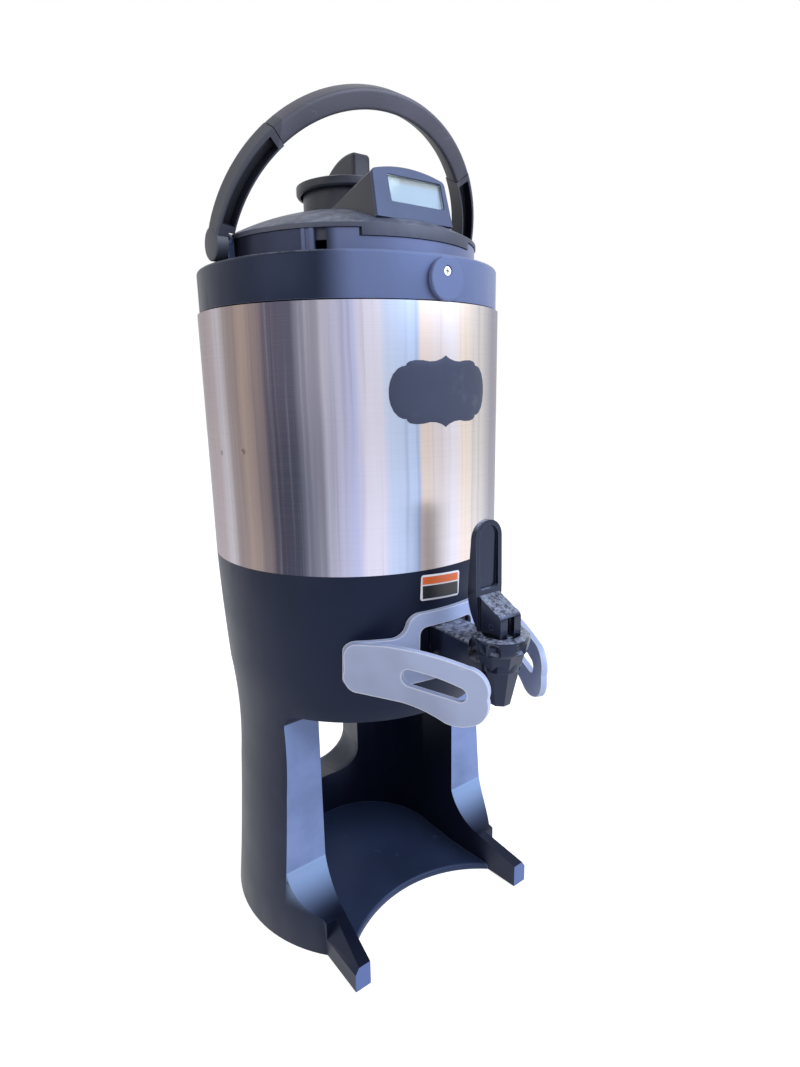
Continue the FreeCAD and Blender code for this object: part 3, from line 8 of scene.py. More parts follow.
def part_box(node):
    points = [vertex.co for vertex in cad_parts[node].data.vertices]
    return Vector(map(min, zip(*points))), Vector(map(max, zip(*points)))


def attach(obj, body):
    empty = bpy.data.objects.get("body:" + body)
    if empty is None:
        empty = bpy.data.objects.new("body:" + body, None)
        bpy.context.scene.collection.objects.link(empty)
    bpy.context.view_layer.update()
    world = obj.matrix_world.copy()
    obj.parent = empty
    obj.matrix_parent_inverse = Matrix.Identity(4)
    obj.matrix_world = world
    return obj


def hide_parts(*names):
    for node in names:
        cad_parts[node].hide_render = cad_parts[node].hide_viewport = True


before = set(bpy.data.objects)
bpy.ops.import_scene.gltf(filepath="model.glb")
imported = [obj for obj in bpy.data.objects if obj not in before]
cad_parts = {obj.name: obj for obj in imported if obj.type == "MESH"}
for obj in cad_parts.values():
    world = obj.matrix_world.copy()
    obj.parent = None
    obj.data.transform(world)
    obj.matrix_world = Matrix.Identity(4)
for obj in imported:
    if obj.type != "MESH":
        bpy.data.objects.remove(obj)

bl_info = {
    "name": "Drink Server Finishes",
    "version": (1, 0, 0),
    "blender": (4, 5, 0),
    "location": "3D View > Sidebar > Server",
    "description": "Finishes, labels and studio for an insulated drink server with a lever tap",
    "category": "Object",
}

MM = 0.001


def linear(red, green, blue):
    """A colour as the eye reads it, 0 to 255, in the units that shaders take."""

    def one(level):
        share = level / 255
        return share / 12.92 if share <= 0.04045 else ((share + 0.055) / 1.055) ** 2.4

    return one(red), one(green), one(blue), 1.0


def colour_field(name, description, red, green, blue):
    """A colour that the user can change."""
    return bpy.props.FloatVectorProperty(
        name=name,
        description=description,
        subtype="COLOR",
        size=4,
        min=0,
        max=1,
        default=linear(red, green, blue),
    )


def length_field(name, description, millimetres):
    """A length that the user can change."""
    return bpy.props.FloatProperty(
        name=name,
        description=description,
        default=millimetres * MM,
        unit="LENGTH",
        subtype="DISTANCE",
    )


def angle_field(name, description, degrees):
    """An angle that the user can change."""
    return bpy.props.FloatProperty(
        name=name,
        description=description,
        default=math.radians(degrees),
        unit="ROTATION",
        subtype="ANGLE",
    )


class ServerFinishes(bpy.types.PropertyGroup):
    """Colours of the server's finishes."""

    pedestal: colour_field("Pedestal", "Black plastic of the pedestal", 13, 17, 32)
    # Painted sheen of the polished front faces beside the cup bay, also used for the painted
    # highlight on the deck's edges.
    fascia_sheen: colour_field("Fascia", "Polished front faces beside the cup bay", 134, 152, 196)
    collar: colour_field("Collar", "Black plastic of the collar", 18, 23, 36)
    handle: colour_field("Handle", "Matte plastic of the bail handle", 84, 84, 98)
    lid: colour_field("Lid", "Textured plastic of the lid", 72, 78, 98)
    tap: colour_field("Tap", "Glossy plastic of the tap", 20, 24, 36)
    guard: colour_field("Guard", "Satin plastic of the tap guard", 180, 194, 230)
    # Dust colour, also used for the painted sheen and edge highlights of the tap.
    dust_and_sheen: colour_field("Dust", "Dry dust that settles on faces that look up", 158, 168, 190)
    crystal: colour_field("Display", "Unlit liquid crystal of the timer", 142, 162, 186)
    plaque: colour_field("Plaque", "Writable black label on the steel", 52, 56, 70)


class ServerLabels(bpy.types.PropertyGroup):
    """Sizes and places of the two labels."""

    plaque_turn: angle_field("Plaque Turn", "Plaque from the front, to the right", -0.2)
    plaque_height: length_field("Plaque Height", "Floor to the middle of the plaque", 443)
    plaque_wide: length_field("Plaque Width", "Width of the plaque along the steel", 87)
    plaque_tall: length_field("Plaque Depth", "Upright size of the plaque", 48)
    tag_turn: angle_field("Tag Turn", "Two-colour tag from the front, to the right", -2.4)
    tag_height: length_field("Tag Height", "Floor to the middle of the tag", 304.4)
    tag_wide: length_field("Tag Width", "Width of the tag", 35.4)
    tag_tall: length_field("Tag Depth", "Upright size of the tag", 19.2)
    tag_tilt: angle_field("Tag Tilt", "Tilt of the tag to the right", 3.5)


class ServerStage(bpy.types.PropertyGroup):
    """Camera and light."""

    heading: angle_field("Heading", "Camera heading from +Y towards +X", 36.88)
    pitch: angle_field("Pitch", "Camera tilt below the horizon", 13.25)
    roll: angle_field("Roll", "Camera roll", -1.01)
    lens: bpy.props.FloatProperty(
        name="Lens", description="Focal length on a 36 mm sensor", default=21.93, unit="CAMERA"
    )
    ambient: bpy.props.FloatProperty(
        name="Ambient", description="Strength of the even room light", default=0.4, min=0
    )
    key_power: bpy.props.FloatProperty(
        name="Key Power", description="Power of the large soft lamp", default=46, unit="POWER"
    )


CAMERA_SPOT = Vector((-0.3008, -0.4632, 0.4510))
HANDLE_PIVOT = Vector((0, -0.005, 0.544))
HANDLE_LEAN = math.radians(28.4)
HANDLE_INNER, HANDLE_OUTER, HANDLE_HALF = 102 * MM, 114.8 * MM, 7.5 * MM
# Angles from the top of the arch: the end of the grip, then the stops of a leg.
GRIP_END, LEG_HEAD, CHANNEL_HEAD, CHANNEL_FOOT, ANKLE, LEG_END = 47.2, 47.5, 49.8, 81.8, 84.2, 88.5
TAP_AXIS = Vector((0, -0.174, 0))
FASCIA_DEPTH = 43.7 * MM  # axis to the flat faces beside the cup bay
TOE_BEND_HEAD, TOE_BEND_FOOT = 62 * MM, 31 * MM  # heights where those faces run out into the toes
TOE_TIP_DEPTH, TOE_TIP_HEIGHT = 116.5 * MM, 25 * MM
SHARP_ANGLE = math.radians(32)


class Finish:
    """A material under construction, with the nodes that its looks are made of."""

    def __init__(self, name, colour, roughness, **constants):
        self.material = bpy.data.materials.new(name)
        self.material.use_nodes = True
        self.nodes = self.material.node_tree.nodes
        self.links = self.material.node_tree.links
        self.shader = self.nodes["Principled BSDF"]
        self.shader.inputs["Base Color"].default_value = colour
        self.shader.inputs["Roughness"].default_value = roughness
        for socket, value in constants.items():
            self.shader.inputs[socket.replace("_", " ")].default_value = value
        self.place = self.node("ShaderNodeTexCoord").outputs["Object"]
        self.colour = None
        self.bump = None

    def node(self, kind, settings=None, **inputs):
        """A node with its settings, and its inputs linked or set."""
        made = self.nodes.new(kind)
        for key, value in (settings or {}).items():
            setattr(made, key, value)
        for key, value in inputs.items():
            socket = made.inputs[int(key[1:]) if key[1:].isdigit() else key]
            if isinstance(value, bpy.types.NodeSocket):
                self.links.new(value, socket)
            else:
                socket.default_value = value
        return made

    def math(self, operation, first, second=0.0):
        """One step of arithmetic on shares or lengths."""
        return self.node("ShaderNodeMath", {"operation": operation}, i0=first, i1=second).outputs[0]

    def times(self, *shares):
        """The product of several shares."""
        product = shares[0]
        for share in shares[1:]:
            product = self.math("MULTIPLY", product, share)
        return product

    def noise(self, scale, detail=3.0, stretch=None, rough=0.55):
        """Noise from 0 to 1, its scale in features per metre."""
        place = self.place
        if stretch:
            place = self.node("ShaderNodeMapping", Vector=place, Scale=stretch).outputs[0]
        made = self.node(
            "ShaderNodeTexNoise", Vector=place, Scale=scale, Detail=detail, Roughness=rough
        )
        return made.outputs["Fac"]

    def window(self, value, low, high):
        """0 below low, 1 above high, with a soft step between."""
        made = self.node(
            "ShaderNodeMapRange", {"interpolation_type": "SMOOTHSTEP"}, Value=value, i1=low, i2=high
        )
        return made.outputs[0]

    def axis(self, letter):
        """One coordinate of the point, in metres."""
        return self.node("ShaderNodeSeparateXYZ", Vector=self.place).outputs[letter]

    def azimuth(self):
        """The turn round the vessel, from the front to the right, in radians."""
        return self.math("ARCTAN2", self.axis("X"), self.times(self.axis("Y"), -1.0))

    def sector(self, turn, start, full, fading, gone):
        """1 between two turns round the vessel, in degrees, with soft ends."""
        rise = self.window(turn, math.radians(start), math.radians(full))
        return self.times(rise, self.window(turn, math.radians(gone), math.radians(fading)))

    def facing(self, letter, low, high):
        """How far the surface looks along an axis of the object."""
        normal = self.node("ShaderNodeTexCoord").outputs["Normal"]
        part = self.node("ShaderNodeSeparateXYZ", Vector=normal).outputs[letter]
        return self.window(part, low, high)

    def edges(self, width, low=0.02, high=0.25):
        """1 on sharp edges, from the turn of a rounded normal against the true one."""
        rounded = self.node("ShaderNodeBevel", {"samples": 6}, Radius=width).outputs[0]
        true = self.node("ShaderNodeNewGeometry").outputs["Normal"]
        turn = self.node("ShaderNodeVectorMath", {"operation": "DOT_PRODUCT"}, i0=rounded, i1=true)
        return self.window(self.math("SUBTRACT", 1.0, turn.outputs["Value"]), low, high)

    def tint(self, colour, share):
        """Lay another colour over the base by a share that may vary over the surface."""
        base = self.colour or self.shader.inputs["Base Color"].default_value[:]
        made = self.node("ShaderNodeMix", {"data_type": "RGBA"}, i0=share, i6=base, i7=colour)
        self.colour = made.outputs[2]

    def relief(self, height, strength, distance):
        """Add a bump to the surface."""
        inputs = {"Height": height, "Strength": strength, "Distance": distance}
        if self.bump:
            inputs["Normal"] = self.bump
        self.bump = self.node("ShaderNodeBump", **inputs).outputs[0]

    def polish(self, low, high, share):
        """Vary the roughness between two values."""
        made = self.node("ShaderNodeMapRange", Value=share, i3=low, i4=high)
        self.links.new(made.outputs[0], self.shader.inputs["Roughness"])

    def done(self):
        """Link what was laid on and give the material."""
        if self.colour:
            self.links.new(self.colour, self.shader.inputs["Base Color"])
        if self.bump:
            self.links.new(self.bump, self.shader.inputs["Normal"])
        return self.material


def dress(names, material):
    """Give CAD nodes a finish."""
    for name in names:
        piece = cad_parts[name]
        piece.data.materials.clear()
        piece.data.materials.append(material)


def ease(names, width):
    """Round the sharp edges of CAD nodes without touching their meshes."""
    for name in names:
        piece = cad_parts[name]
        piece.modifiers.new("weld", "WELD").merge_threshold = 0.01 * MM
        bevel = piece.modifiers.new("ease", "BEVEL")
        bevel.width = width * MM
        bevel.segments = 3
        bevel.limit_method = "ANGLE"
        bevel.angle_limit = SHARP_ANGLE
        bevel.harden_normals = True


def moulded(name, colour, roughness, grain=0.25, dust_and_sheen=0.0, scratches=0.0, **constants):
    """Moulded plastic with a fine grain, hand marks, dust and light scratches."""
    finish = Finish(name, colour, roughness, **constants)
    cloud = finish.noise(26, 4)
    finish.polish(roughness - 0.07, roughness + 0.09, cloud)
    finish.tint(tint_up(colour, 0.62), finish.window(finish.noise(9, 3), 0.4, 0.72))
    finish.relief(finish.noise(1900, 2), grain, 0.02 * MM)
    if scratches:
        thin = finish.noise(60, 2, stretch=(1, 1, 14))
        line = finish.times(finish.window(thin, 0.66, 0.7), finish.window(cloud, 0.5, 0.62))
        finish.tint(tint_up(colour, 2.6), finish.times(line, scratches))
    if dust_and_sheen:
        grime = finish.window(finish.noise(75, 8, rough=0.7), 0.42, 0.68)
        up = finish.facing("Z", 0.25, 0.95)
        finish.tint(settings("finishes").dust_and_sheen, finish.times(grime, up, dust_and_sheen))
    return finish


def tint_up(colour, factor):
    """The same hue, lighter or darker."""
    return tuple(min(1.0, level * factor) for level in colour[:3]) + (1.0,)


def settings(group):
    """One of the add-on's groups of settings."""
    return getattr(bpy.context.scene, f"server_{group}")


# Painted reflections of a bright room, in upright bands on the steel: degrees to the right of the
# front, and a tone.
STEEL_PAINTED_REFLECTIONS = (
    (-150, (150, 150, 160)),
    (-126, (206, 204, 214)),
    (-104, (150, 142, 148)),
    (-92, (168, 154, 158)),
    (-85, (190, 184, 192)),
    (-79, (140, 128, 128)),
    (-72, (152, 136, 130)),
    (-64, (112, 102, 106)),
    (-61, (62, 60, 76)),
    (-51.5, (62, 64, 80)),
    (-50, (100, 102, 118)),
    (-44, (122, 122, 138)),
    (-42, (156, 156, 172)),
    (-37, (172, 172, 196)),
    (-32.5, (176, 180, 212)),
    (-30, (208, 204, 220)),
    (-24, (208, 205, 220)),
    (-21.5, (184, 196, 222)),
    (-11.5, (176, 192, 222)),
    (-10, (214, 197, 186)),
    (-3, (210, 201, 202)),
    (3, (220, 216, 224)),
    (9, (232, 218, 206)),
    (18, (214, 208, 206)),
    (32, (150, 148, 160)),
    (58, (104, 104, 116)),
    (62, (186, 186, 200)),
    (92, (214, 210, 214)),
    (118, (160, 160, 170)),
    (122, (112, 111, 120)),
    (166, (150, 150, 160)),
)


# Two small dents at the left of the steel: place and size.
DENTS = (((-0.1135, -0.032, 0.4045), 3.5 * MM), ((-0.118, -0.004, 0.402), 3 * MM))


def brushed_steel():
    """Rolled stainless sheet, brushed round the vessel, with painted reflections of its room in
    upright bands.
    """
    finish = Finish(
        "brushed_stainless", linear(190, 188, 196), 0.34, Metallic=1.0, Anisotropic=0.75
    )
    turn = finish.azimuth()
    waver = finish.times(finish.math("SUBTRACT", finish.noise(7, 2), 0.5), 0.06)
    turn = finish.math("ADD", turn, waver)
    share = finish.math("ADD", finish.math("DIVIDE", turn, math.tau), 0.5)
    # Painted reflections: the base colour follows the bands round the vessel.
    ramp = finish.node("ShaderNodeValToRGB", Fac=share)
    band = ramp.color_ramp
    band.interpolation = "EASE"
    band.elements.remove(band.elements[1])
    for number, (degrees, tone) in enumerate(STEEL_PAINTED_REFLECTIONS):
        spot = (degrees + 180) / 360
        stop = band.elements[0] if number == 0 else band.elements.new(spot)
        stop.position = spot
        stop.color = linear(*tone)
    finish.colour = ramp.outputs[0]
    spot = finish.node("ShaderNodeCombineXYZ", X=finish.times(turn, 9.0), Z=finish.axis("Z"))
    streak = finish.node("ShaderNodeTexNoise", Vector=spot.outputs[0], Scale=3.0, Detail=4.0)
    dark = finish.window(streak.outputs["Fac"], 0.5, 0.72)
    light = finish.window(streak.outputs["Fac"], 0.5, 0.3)
    finish.tint(linear(70, 68, 80), finish.times(dark, 0.2))
    finish.tint(linear(236, 236, 244), finish.times(light, 0.07))
    finish.tint(linear(60, 60, 66), 0.1)
    hair = finish.noise(420, 3, stretch=(0.05, 0.05, 6))
    finish.tint(linear(120, 118, 126), finish.times(finish.window(hair, 0.45, 0.75), 0.09))
    finish.polish(0.26, 0.42, hair)
    for middle, size in DENTS:
        gap = finish.node(
            "ShaderNodeVectorMath", {"operation": "DISTANCE"}, i0=finish.place, i1=middle
        ).outputs["Value"]
        dent = finish.window(gap, size * 0.2, size)
        finish.relief(dent, 0.9, 0.8 * MM)
        # Painted shade darkens the middle of each dent.
        finish.tint(linear(70, 62, 62), finish.times(finish.math("SUBTRACT", 1.0, dent), 0.55))
    finish.relief(hair, 0.12, 0.02 * MM)
    return finish.done()


def settled(name, shape):
    """The object of a new skin, with outward normals and smooth faces."""
    bmesh.ops.recalc_face_normals(shape, faces=shape.faces)
    for face in shape.faces:
        face.smooth = True
    mesh = bpy.data.meshes.new(name)
    shape.to_mesh(mesh)
    shape.free()
    piece = bpy.data.objects.new(name, mesh)
    bpy.context.scene.collection.objects.link(piece)
    return piece


def loft(name, rings, closed=False):
    """A skin over rings of points, closed into a loop or capped at both ends."""
    shape = bmesh.new()
    loops = [[shape.verts.new(spot) for spot in ring] for ring in rings]
    count = len(loops[0])
    for here, there in zip(loops, loops[1:] + (loops[:1] if closed else [])):
        for i in range(count):
            j = (i + 1) % count
            shape.faces.new((here[i], here[j], there[j], there[i]))
    if not closed:
        shape.faces.new(loops[0])
        shape.faces.new(loops[-1])
    bmesh.ops.remove_doubles(shape, verts=shape.verts, dist=0.001 * MM)
    bmesh.ops.dissolve_degenerate(shape, edges=shape.edges, dist=0.001 * MM)
    piece = settled(name, shape)
    piece.data.set_sharp_from_angle(angle=SHARP_ANGLE)
    return piece


def carried(piece, body, slot, material, *nodes):
    """Give a new piece its finish, the body that moves it and what it stands for; its slot is not
    used.
    """
    piece.data.materials.append(material)
    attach(piece, body)
    if nodes:
        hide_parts(*nodes)


def round_spot(reach, turn, height):
    """A point at a distance from the vessel's axis, turned from the front to the right."""
    return Vector((reach * math.sin(turn), -reach * math.cos(turn), height))


class SERVER_OT_pedestal(bpy.types.Operator):
    """Finish the pedestal, its deck and the foot pads."""

    bl_idname = "server.pedestal"
    bl_label = "Pedestal"

    def execute(self, context):
        tones = settings("finishes")
        shell = moulded(
            "pedestal_plastic",
            tones.pedestal,
            0.42,
            scratches=0.3,
            Specular_IOR_Level=0.36,
            Specular_Tint=linear(176, 196, 255),
        )
        # Painted sheen on the flat front faces, in clouds of two tones.
        depth = shell.math("ABSOLUTE", shell.math("ADD", shell.axis("Y"), FASCIA_DEPTH))
        flat = shell.times(shell.facing("Y", -0.9, -0.97), shell.window(depth, 0.8 * MM, 0.4 * MM))
        cloud = shell.window(shell.noise(22, 5), 0.35, 0.75)
        cloudy_sheen = shell.node("ShaderNodeMix", {"data_type": "RGBA"}, i0=cloud, i6=tones.fascia_sheen)
        cloudy_sheen.inputs[7].default_value = tint_up(tones.fascia_sheen, 0.72)
        shell.tint(cloudy_sheen.outputs[2], flat)
        height, reach = shell.axis("Z"), shell.axis("Y")
        # Painted highlight: a light blue gradient down the bend where the front faces run into the
        # toes.
        bend_highlight = shell.times(
            shell.window(height, TOE_BEND_HEAD + 0.5 * MM, TOE_BEND_HEAD - 0.5 * MM),
            shell.window(reach, -FASCIA_DEPTH + 0.7 * MM, -FASCIA_DEPTH - 0.3 * MM),
            shell.window(height, TOE_BEND_FOOT, TOE_BEND_HEAD - 4 * MM),
        )
        upper = shell.times(shell.facing("Z", 0.03, 0.2), shell.facing("Y", -0.2, -0.4))
        shell.tint(linear(150, 176, 216), shell.times(bend_highlight, upper, 0.85))
        # Painted sheen: light blue on the front faces of the toe tips.
        toe_tip_sheen = shell.times(
            shell.facing("Y", -0.9, -0.97),
            shell.window(reach, -TOE_TIP_DEPTH + 1.5 * MM, -TOE_TIP_DEPTH - 1.5 * MM),
            shell.window(height, TOE_TIP_HEIGHT + MM, TOE_TIP_HEIGHT - MM),
        )
        shell.tint(linear(98, 114, 164), toe_tip_sheen)
        dress(["base_shell"], shell.done())
        deck = moulded(
            "deck_plastic",
            linear(44, 56, 84),
            0.46,
            grain=0.5,
            scratches=0.5,
            Specular_Tint=linear(170, 190, 240),
        )
        specks = deck.window(deck.noise(420, 6, rough=0.85), 0.67, 0.7)
        patch = deck.window(deck.noise(20, 2), 0.45, 0.62)
        deck.tint(tint_up(tones.dust_and_sheen, 1.3), deck.times(specks, patch, 0.8))
        # Painted highlight along the deck's sharp edges.
        deck.tint(tones.fascia_sheen, deck.times(deck.edges(1.2 * MM), 0.6))
        dress(["deck_plate"], deck.done())
        rubber = moulded("foot_rubber", linear(30, 30, 31), 0.75, grain=0.4)
        dress(["rubber_feet"], rubber.done())
        ease(["base_shell"], 0.9)
        return {"FINISHED"}


class SERVER_OT_vessel(bpy.types.Operator):
    """Finish the steel vessel and what is inside it."""

    bl_idname = "server.vessel"
    bl_label = "Vessel"

    def execute(self, context):
        dress(["body_shell"], brushed_steel())
        liner = Finish("liner_stainless", linear(198, 199, 204), 0.28, Metallic=1.0)
        liner.polish(0.2, 0.38, liner.noise(300, 3, stretch=(0.1, 0.1, 3)))
        liner.tint(linear(150, 146, 142), liner.window(liner.noise(14, 4), 0.5, 0.8))
        dress(["inner_liner", "outlet_spud", "tap_shank"], liner.done())
        rubber = moulded("seal_rubber", linear(34, 34, 36), 0.7, grain=0.4)
        seals = ["vessel_cushion", "lid_gasket", "cap_seal", "seat_cup", "shank_washer"]
        dress(seals, rubber.done())
        return {"FINISHED"}


class SERVER_OT_collar(bpy.types.Operator):
    """Finish the collar, its boss and the handle pins."""

    bl_idname = "server.collar"
    bl_label = "Collar"

    def execute(self, context):
        tones = settings("finishes")
        ring = moulded(
            "collar_plastic",
            tones.collar,
            0.36,
            scratches=0.4,
            dust_and_sheen=0.3,
            Specular_IOR_Level=0.4,
            Specular_Tint=linear(170, 192, 255),
        )
        sheen = ring.sector(ring.azimuth(), -44, -30, 40, 120)
        ring.tint(linear(118, 132, 172), ring.times(sheen, 0.75))
        # Painted highlight along the sharp edges of the collar and boss.
        ring.tint(linear(160, 172, 196), ring.times(ring.edges(0.9 * MM), 0.55))
        dress(["top_collar", "collar_boss"], ring.done())
        self.screw()
        dress(["pivot_pins", "boss_screw", "plate_screws", "lid_screws"], screw_steel())
        ease(["top_collar"], 0.5)
        ease(["collar_boss"], 0.6)
        ease(["boss_screw"], 0.4)
        return {"FINISHED"}

    def screw(self):
        """The recess round the boss screw, with a painted highlight on its rim, and a cross of
        painted shadow in its head.
        """
        low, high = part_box("boss_screw")
        middle, front = (low + high) / 2, low.y
        spot = Vector((middle.x, front, middle.z))
        rings = []
        for i in range(40):
            turn = math.tau * i / 40
            rim = Vector((math.cos(turn), 0, math.sin(turn)))
            section = ((3.4, 0.6), (4.3, 0.6), (4.2, 0.15), (3.9, 0.0), (3.6, 0.15))
            rings.append([spot + rim * r * MM + Vector((0, y * MM, 0)) for r, y in section])
        recess = loft("screw_recess", rings, closed=True)
        # Painted highlight on the rim of the recess.
        rim_highlight = Finish("recess_rim_highlight", linear(120, 130, 156), 0.3)
        rim_highlight.tint(linear(60, 66, 84), rim_highlight.noise(900, 2))
        carried(recess, "server", "collar_plastic", rim_highlight.done())
        # The cross is a dark sheet of painted shadow in the screw's drive.
        dark = Finish("cross_shadow", linear(26, 28, 36), 0.6)
        dark.tint(linear(70, 72, 80), dark.noise(1500, 2))
        dark = dark.done()
        for name, wide, tall in (("cross_upright", 0.35, 1.7), ("cross_level", 1.7, 0.35)):
            corners = ((-wide, -tall), (wide, -tall), (wide, tall), (-wide, tall))
            ends = [[spot + Vector((x, y, z)) * MM for x, z in corners] for y in (-0.06, 0.5)]
            carried(loft(name, ends), "server", "screw_steel", dark)


def screw_steel():
    """Zinc-plated screws and pins."""
    finish = Finish("screw_steel", linear(200, 201, 205), 0.25, Metallic=1.0)
    finish.polish(0.18, 0.4, finish.noise(900, 3))
    finish.tint(linear(120, 116, 112), finish.window(finish.noise(500, 4), 0.5, 0.8))
    return finish.done()


def arch_bar(name, stations):
    """A bar along the arch of the handle, from its sections at angles from the top."""
    lean = Matrix.Rotation(HANDLE_LEAN, 3, "X")
    rings = []
    for degrees, section in stations:
        turn = math.radians(degrees)
        out, up = math.sin(turn), math.cos(turn)
        spots = [Vector((reach * out, across, reach * up)) for reach, across in section]
        rings.append([HANDLE_PIVOT + lean @ spot for spot in spots])
    return loft(name, rings)


def grip_section(corner, steps=4):
    """Section of the grip, with round corners."""
    middle = (HANDLE_INNER + HANDLE_OUTER) / 2
    deep, half = (HANDLE_OUTER - HANDLE_INNER) / 2, HANDLE_HALF
    section = []
    for number, (x, y) in enumerate(((1, 1), (-1, 1), (-1, -1), (1, -1))):
        for step in range(steps + 1):
            turn = math.radians(90 * (number + step / steps))
            section.append(
                (
                    middle + x * (deep - corner) + corner * math.cos(turn),
                    y * (half - corner) + corner * math.sin(turn),
                )
            )
    return section


def leg_section(inner, depth):
    """Section of a leg: a channel in the front face, with a thin wall on the inside."""
    half, bevel, outer = HANDLE_HALF, 1.3 * MM, HANDLE_OUTER
    near, far = max(inner, HANDLE_INNER + 1.1 * MM), HANDLE_OUTER - 2.6 * MM
    return [
        (inner, -half),
        (near, -half),
        (near, -half + depth),
        (far, -half + depth),
        (far, -half),
        (outer - bevel, -half),
        (outer, -half + bevel),
        (outer, half - bevel),
        (outer - bevel, half),
        (inner, half),
    ]


class SERVER_OT_handle(bpy.types.Operator):
    """Build the bail handle: a grip between two channelled legs."""

    bl_idname = "server.handle"
    bl_label = "Handle"

    def execute(self, context):
        tones = settings("finishes")
        skin = moulded("handle_plastic", tones.handle, 0.5, grain=0.7, scratches=0.3)
        # Painted highlight along the handle's sharp edges.
        skin.tint(tint_up(tones.handle, 1.9), skin.times(skin.edges(1.0 * MM), 0.3))
        across = skin.math("ABSOLUTE", skin.axis("X"))
        legs = skin.window(across, 78.5 * MM, 79.5 * MM)
        skin.tint(linear(50, 54, 66), skin.times(legs, 0.85))
        # Painted shade in the channels and under the arch, in the pedestal's near-black.
        skin.tint(tones.pedestal, self.shade(skin))
        skin = skin.done()
        corner = grip_section(2.4 * MM)
        stations = [(GRIP_END * (i / 30 - 1), corner) for i in range(61)]
        grip = arch_bar("handle_grip_skin", stations)
        carried(grip, "handle", "handle_plastic", skin, "handle_grip")
        for side, sign in (("left", -1), ("right", 1)):
            leg = arch_bar(f"handle_leg_{side}_skin", self.leg(sign))
            carried(leg, "handle", "handle_plastic", skin, f"handle_leg_{side}")
            hub = loft(f"handle_hub_{side}", self.hub(sign))
            carried(hub, "handle", "handle_plastic", skin)
        return {"FINISHED"}

    def leg(self, sign):
        """Stations of a leg, from the joint with the grip to the hub."""
        solid, hollow = leg_section(HANDLE_INNER, 0), leg_section(HANDLE_INNER, 9 * MM)
        thin = leg_section(106.3 * MM, 0)
        length = CHANNEL_FOOT - CHANNEL_HEAD
        stations = [(LEG_HEAD, solid), (CHANNEL_HEAD, solid), (CHANNEL_HEAD, hollow)]
        stations += [(CHANNEL_HEAD + length * i / 20, hollow) for i in range(1, 21)]
        stations += [(CHANNEL_FOOT, solid), (ANKLE, solid), (ANKLE, thin), (LEG_END, thin)]
        return [(degrees * sign, section) for degrees, section in stations]

    def hub(self, sign, steps=40):
        """Rings of a hub about the pivot, with an eased outer edge."""
        rings = []
        for reach, radius in ((106.1, 11), (113.9, 11), (114.6, 10.3), (114.8, 9.4)):
            ring = []
            for i in range(steps):
                turn = math.tau * i / steps
                rim = (sign * reach, radius * math.cos(turn), radius * math.sin(turn))
                ring.append(HANDLE_PIVOT + Vector(rim) * MM)
            rings.append(ring)
        return rings

    def shade(self, skin):
        """Painted shade in the channels and on the inner side of the arch."""
        lean = Matrix.Rotation(-HANDLE_LEAN, 3, "X").to_euler()
        moved = skin.node(
            "ShaderNodeVectorMath", {"operation": "SUBTRACT"}, i0=skin.place, i1=HANDLE_PIVOT
        ).outputs[0]
        local = skin.node(
            "ShaderNodeVectorRotate", {"rotation_type": "EULER_XYZ"}, Vector=moved, Rotation=lean
        ).outputs[0]
        part = skin.node("ShaderNodeSeparateXYZ", Vector=local)
        x, y, z = (part.outputs[letter] for letter in "XYZ")
        square = skin.math("ADD", skin.times(x, x), skin.times(z, z))
        reach = skin.math("SQRT", square)
        inside = skin.window(reach, HANDLE_INNER + 0.5 * MM, HANDLE_INNER + 0.1 * MM)
        sunk = skin.times(
            skin.window(y, -HANDLE_HALF + 0.4 * MM, -HANDLE_HALF + 1.2 * MM),
            skin.window(y, HANDLE_HALF - 1.2 * MM, HANDLE_HALF - 4 * MM),
            skin.window(reach, HANDLE_INNER + 0.9 * MM, HANDLE_INNER + 1.2 * MM),
            skin.window(reach, HANDLE_OUTER - 2.2 * MM, HANDLE_OUTER - 2.5 * MM),
            skin.window(skin.math("ABSOLUTE", x), 75 * MM, 77 * MM),
        )
        return skin.math("MAXIMUM", skin.times(inside, 0.8), sunk)


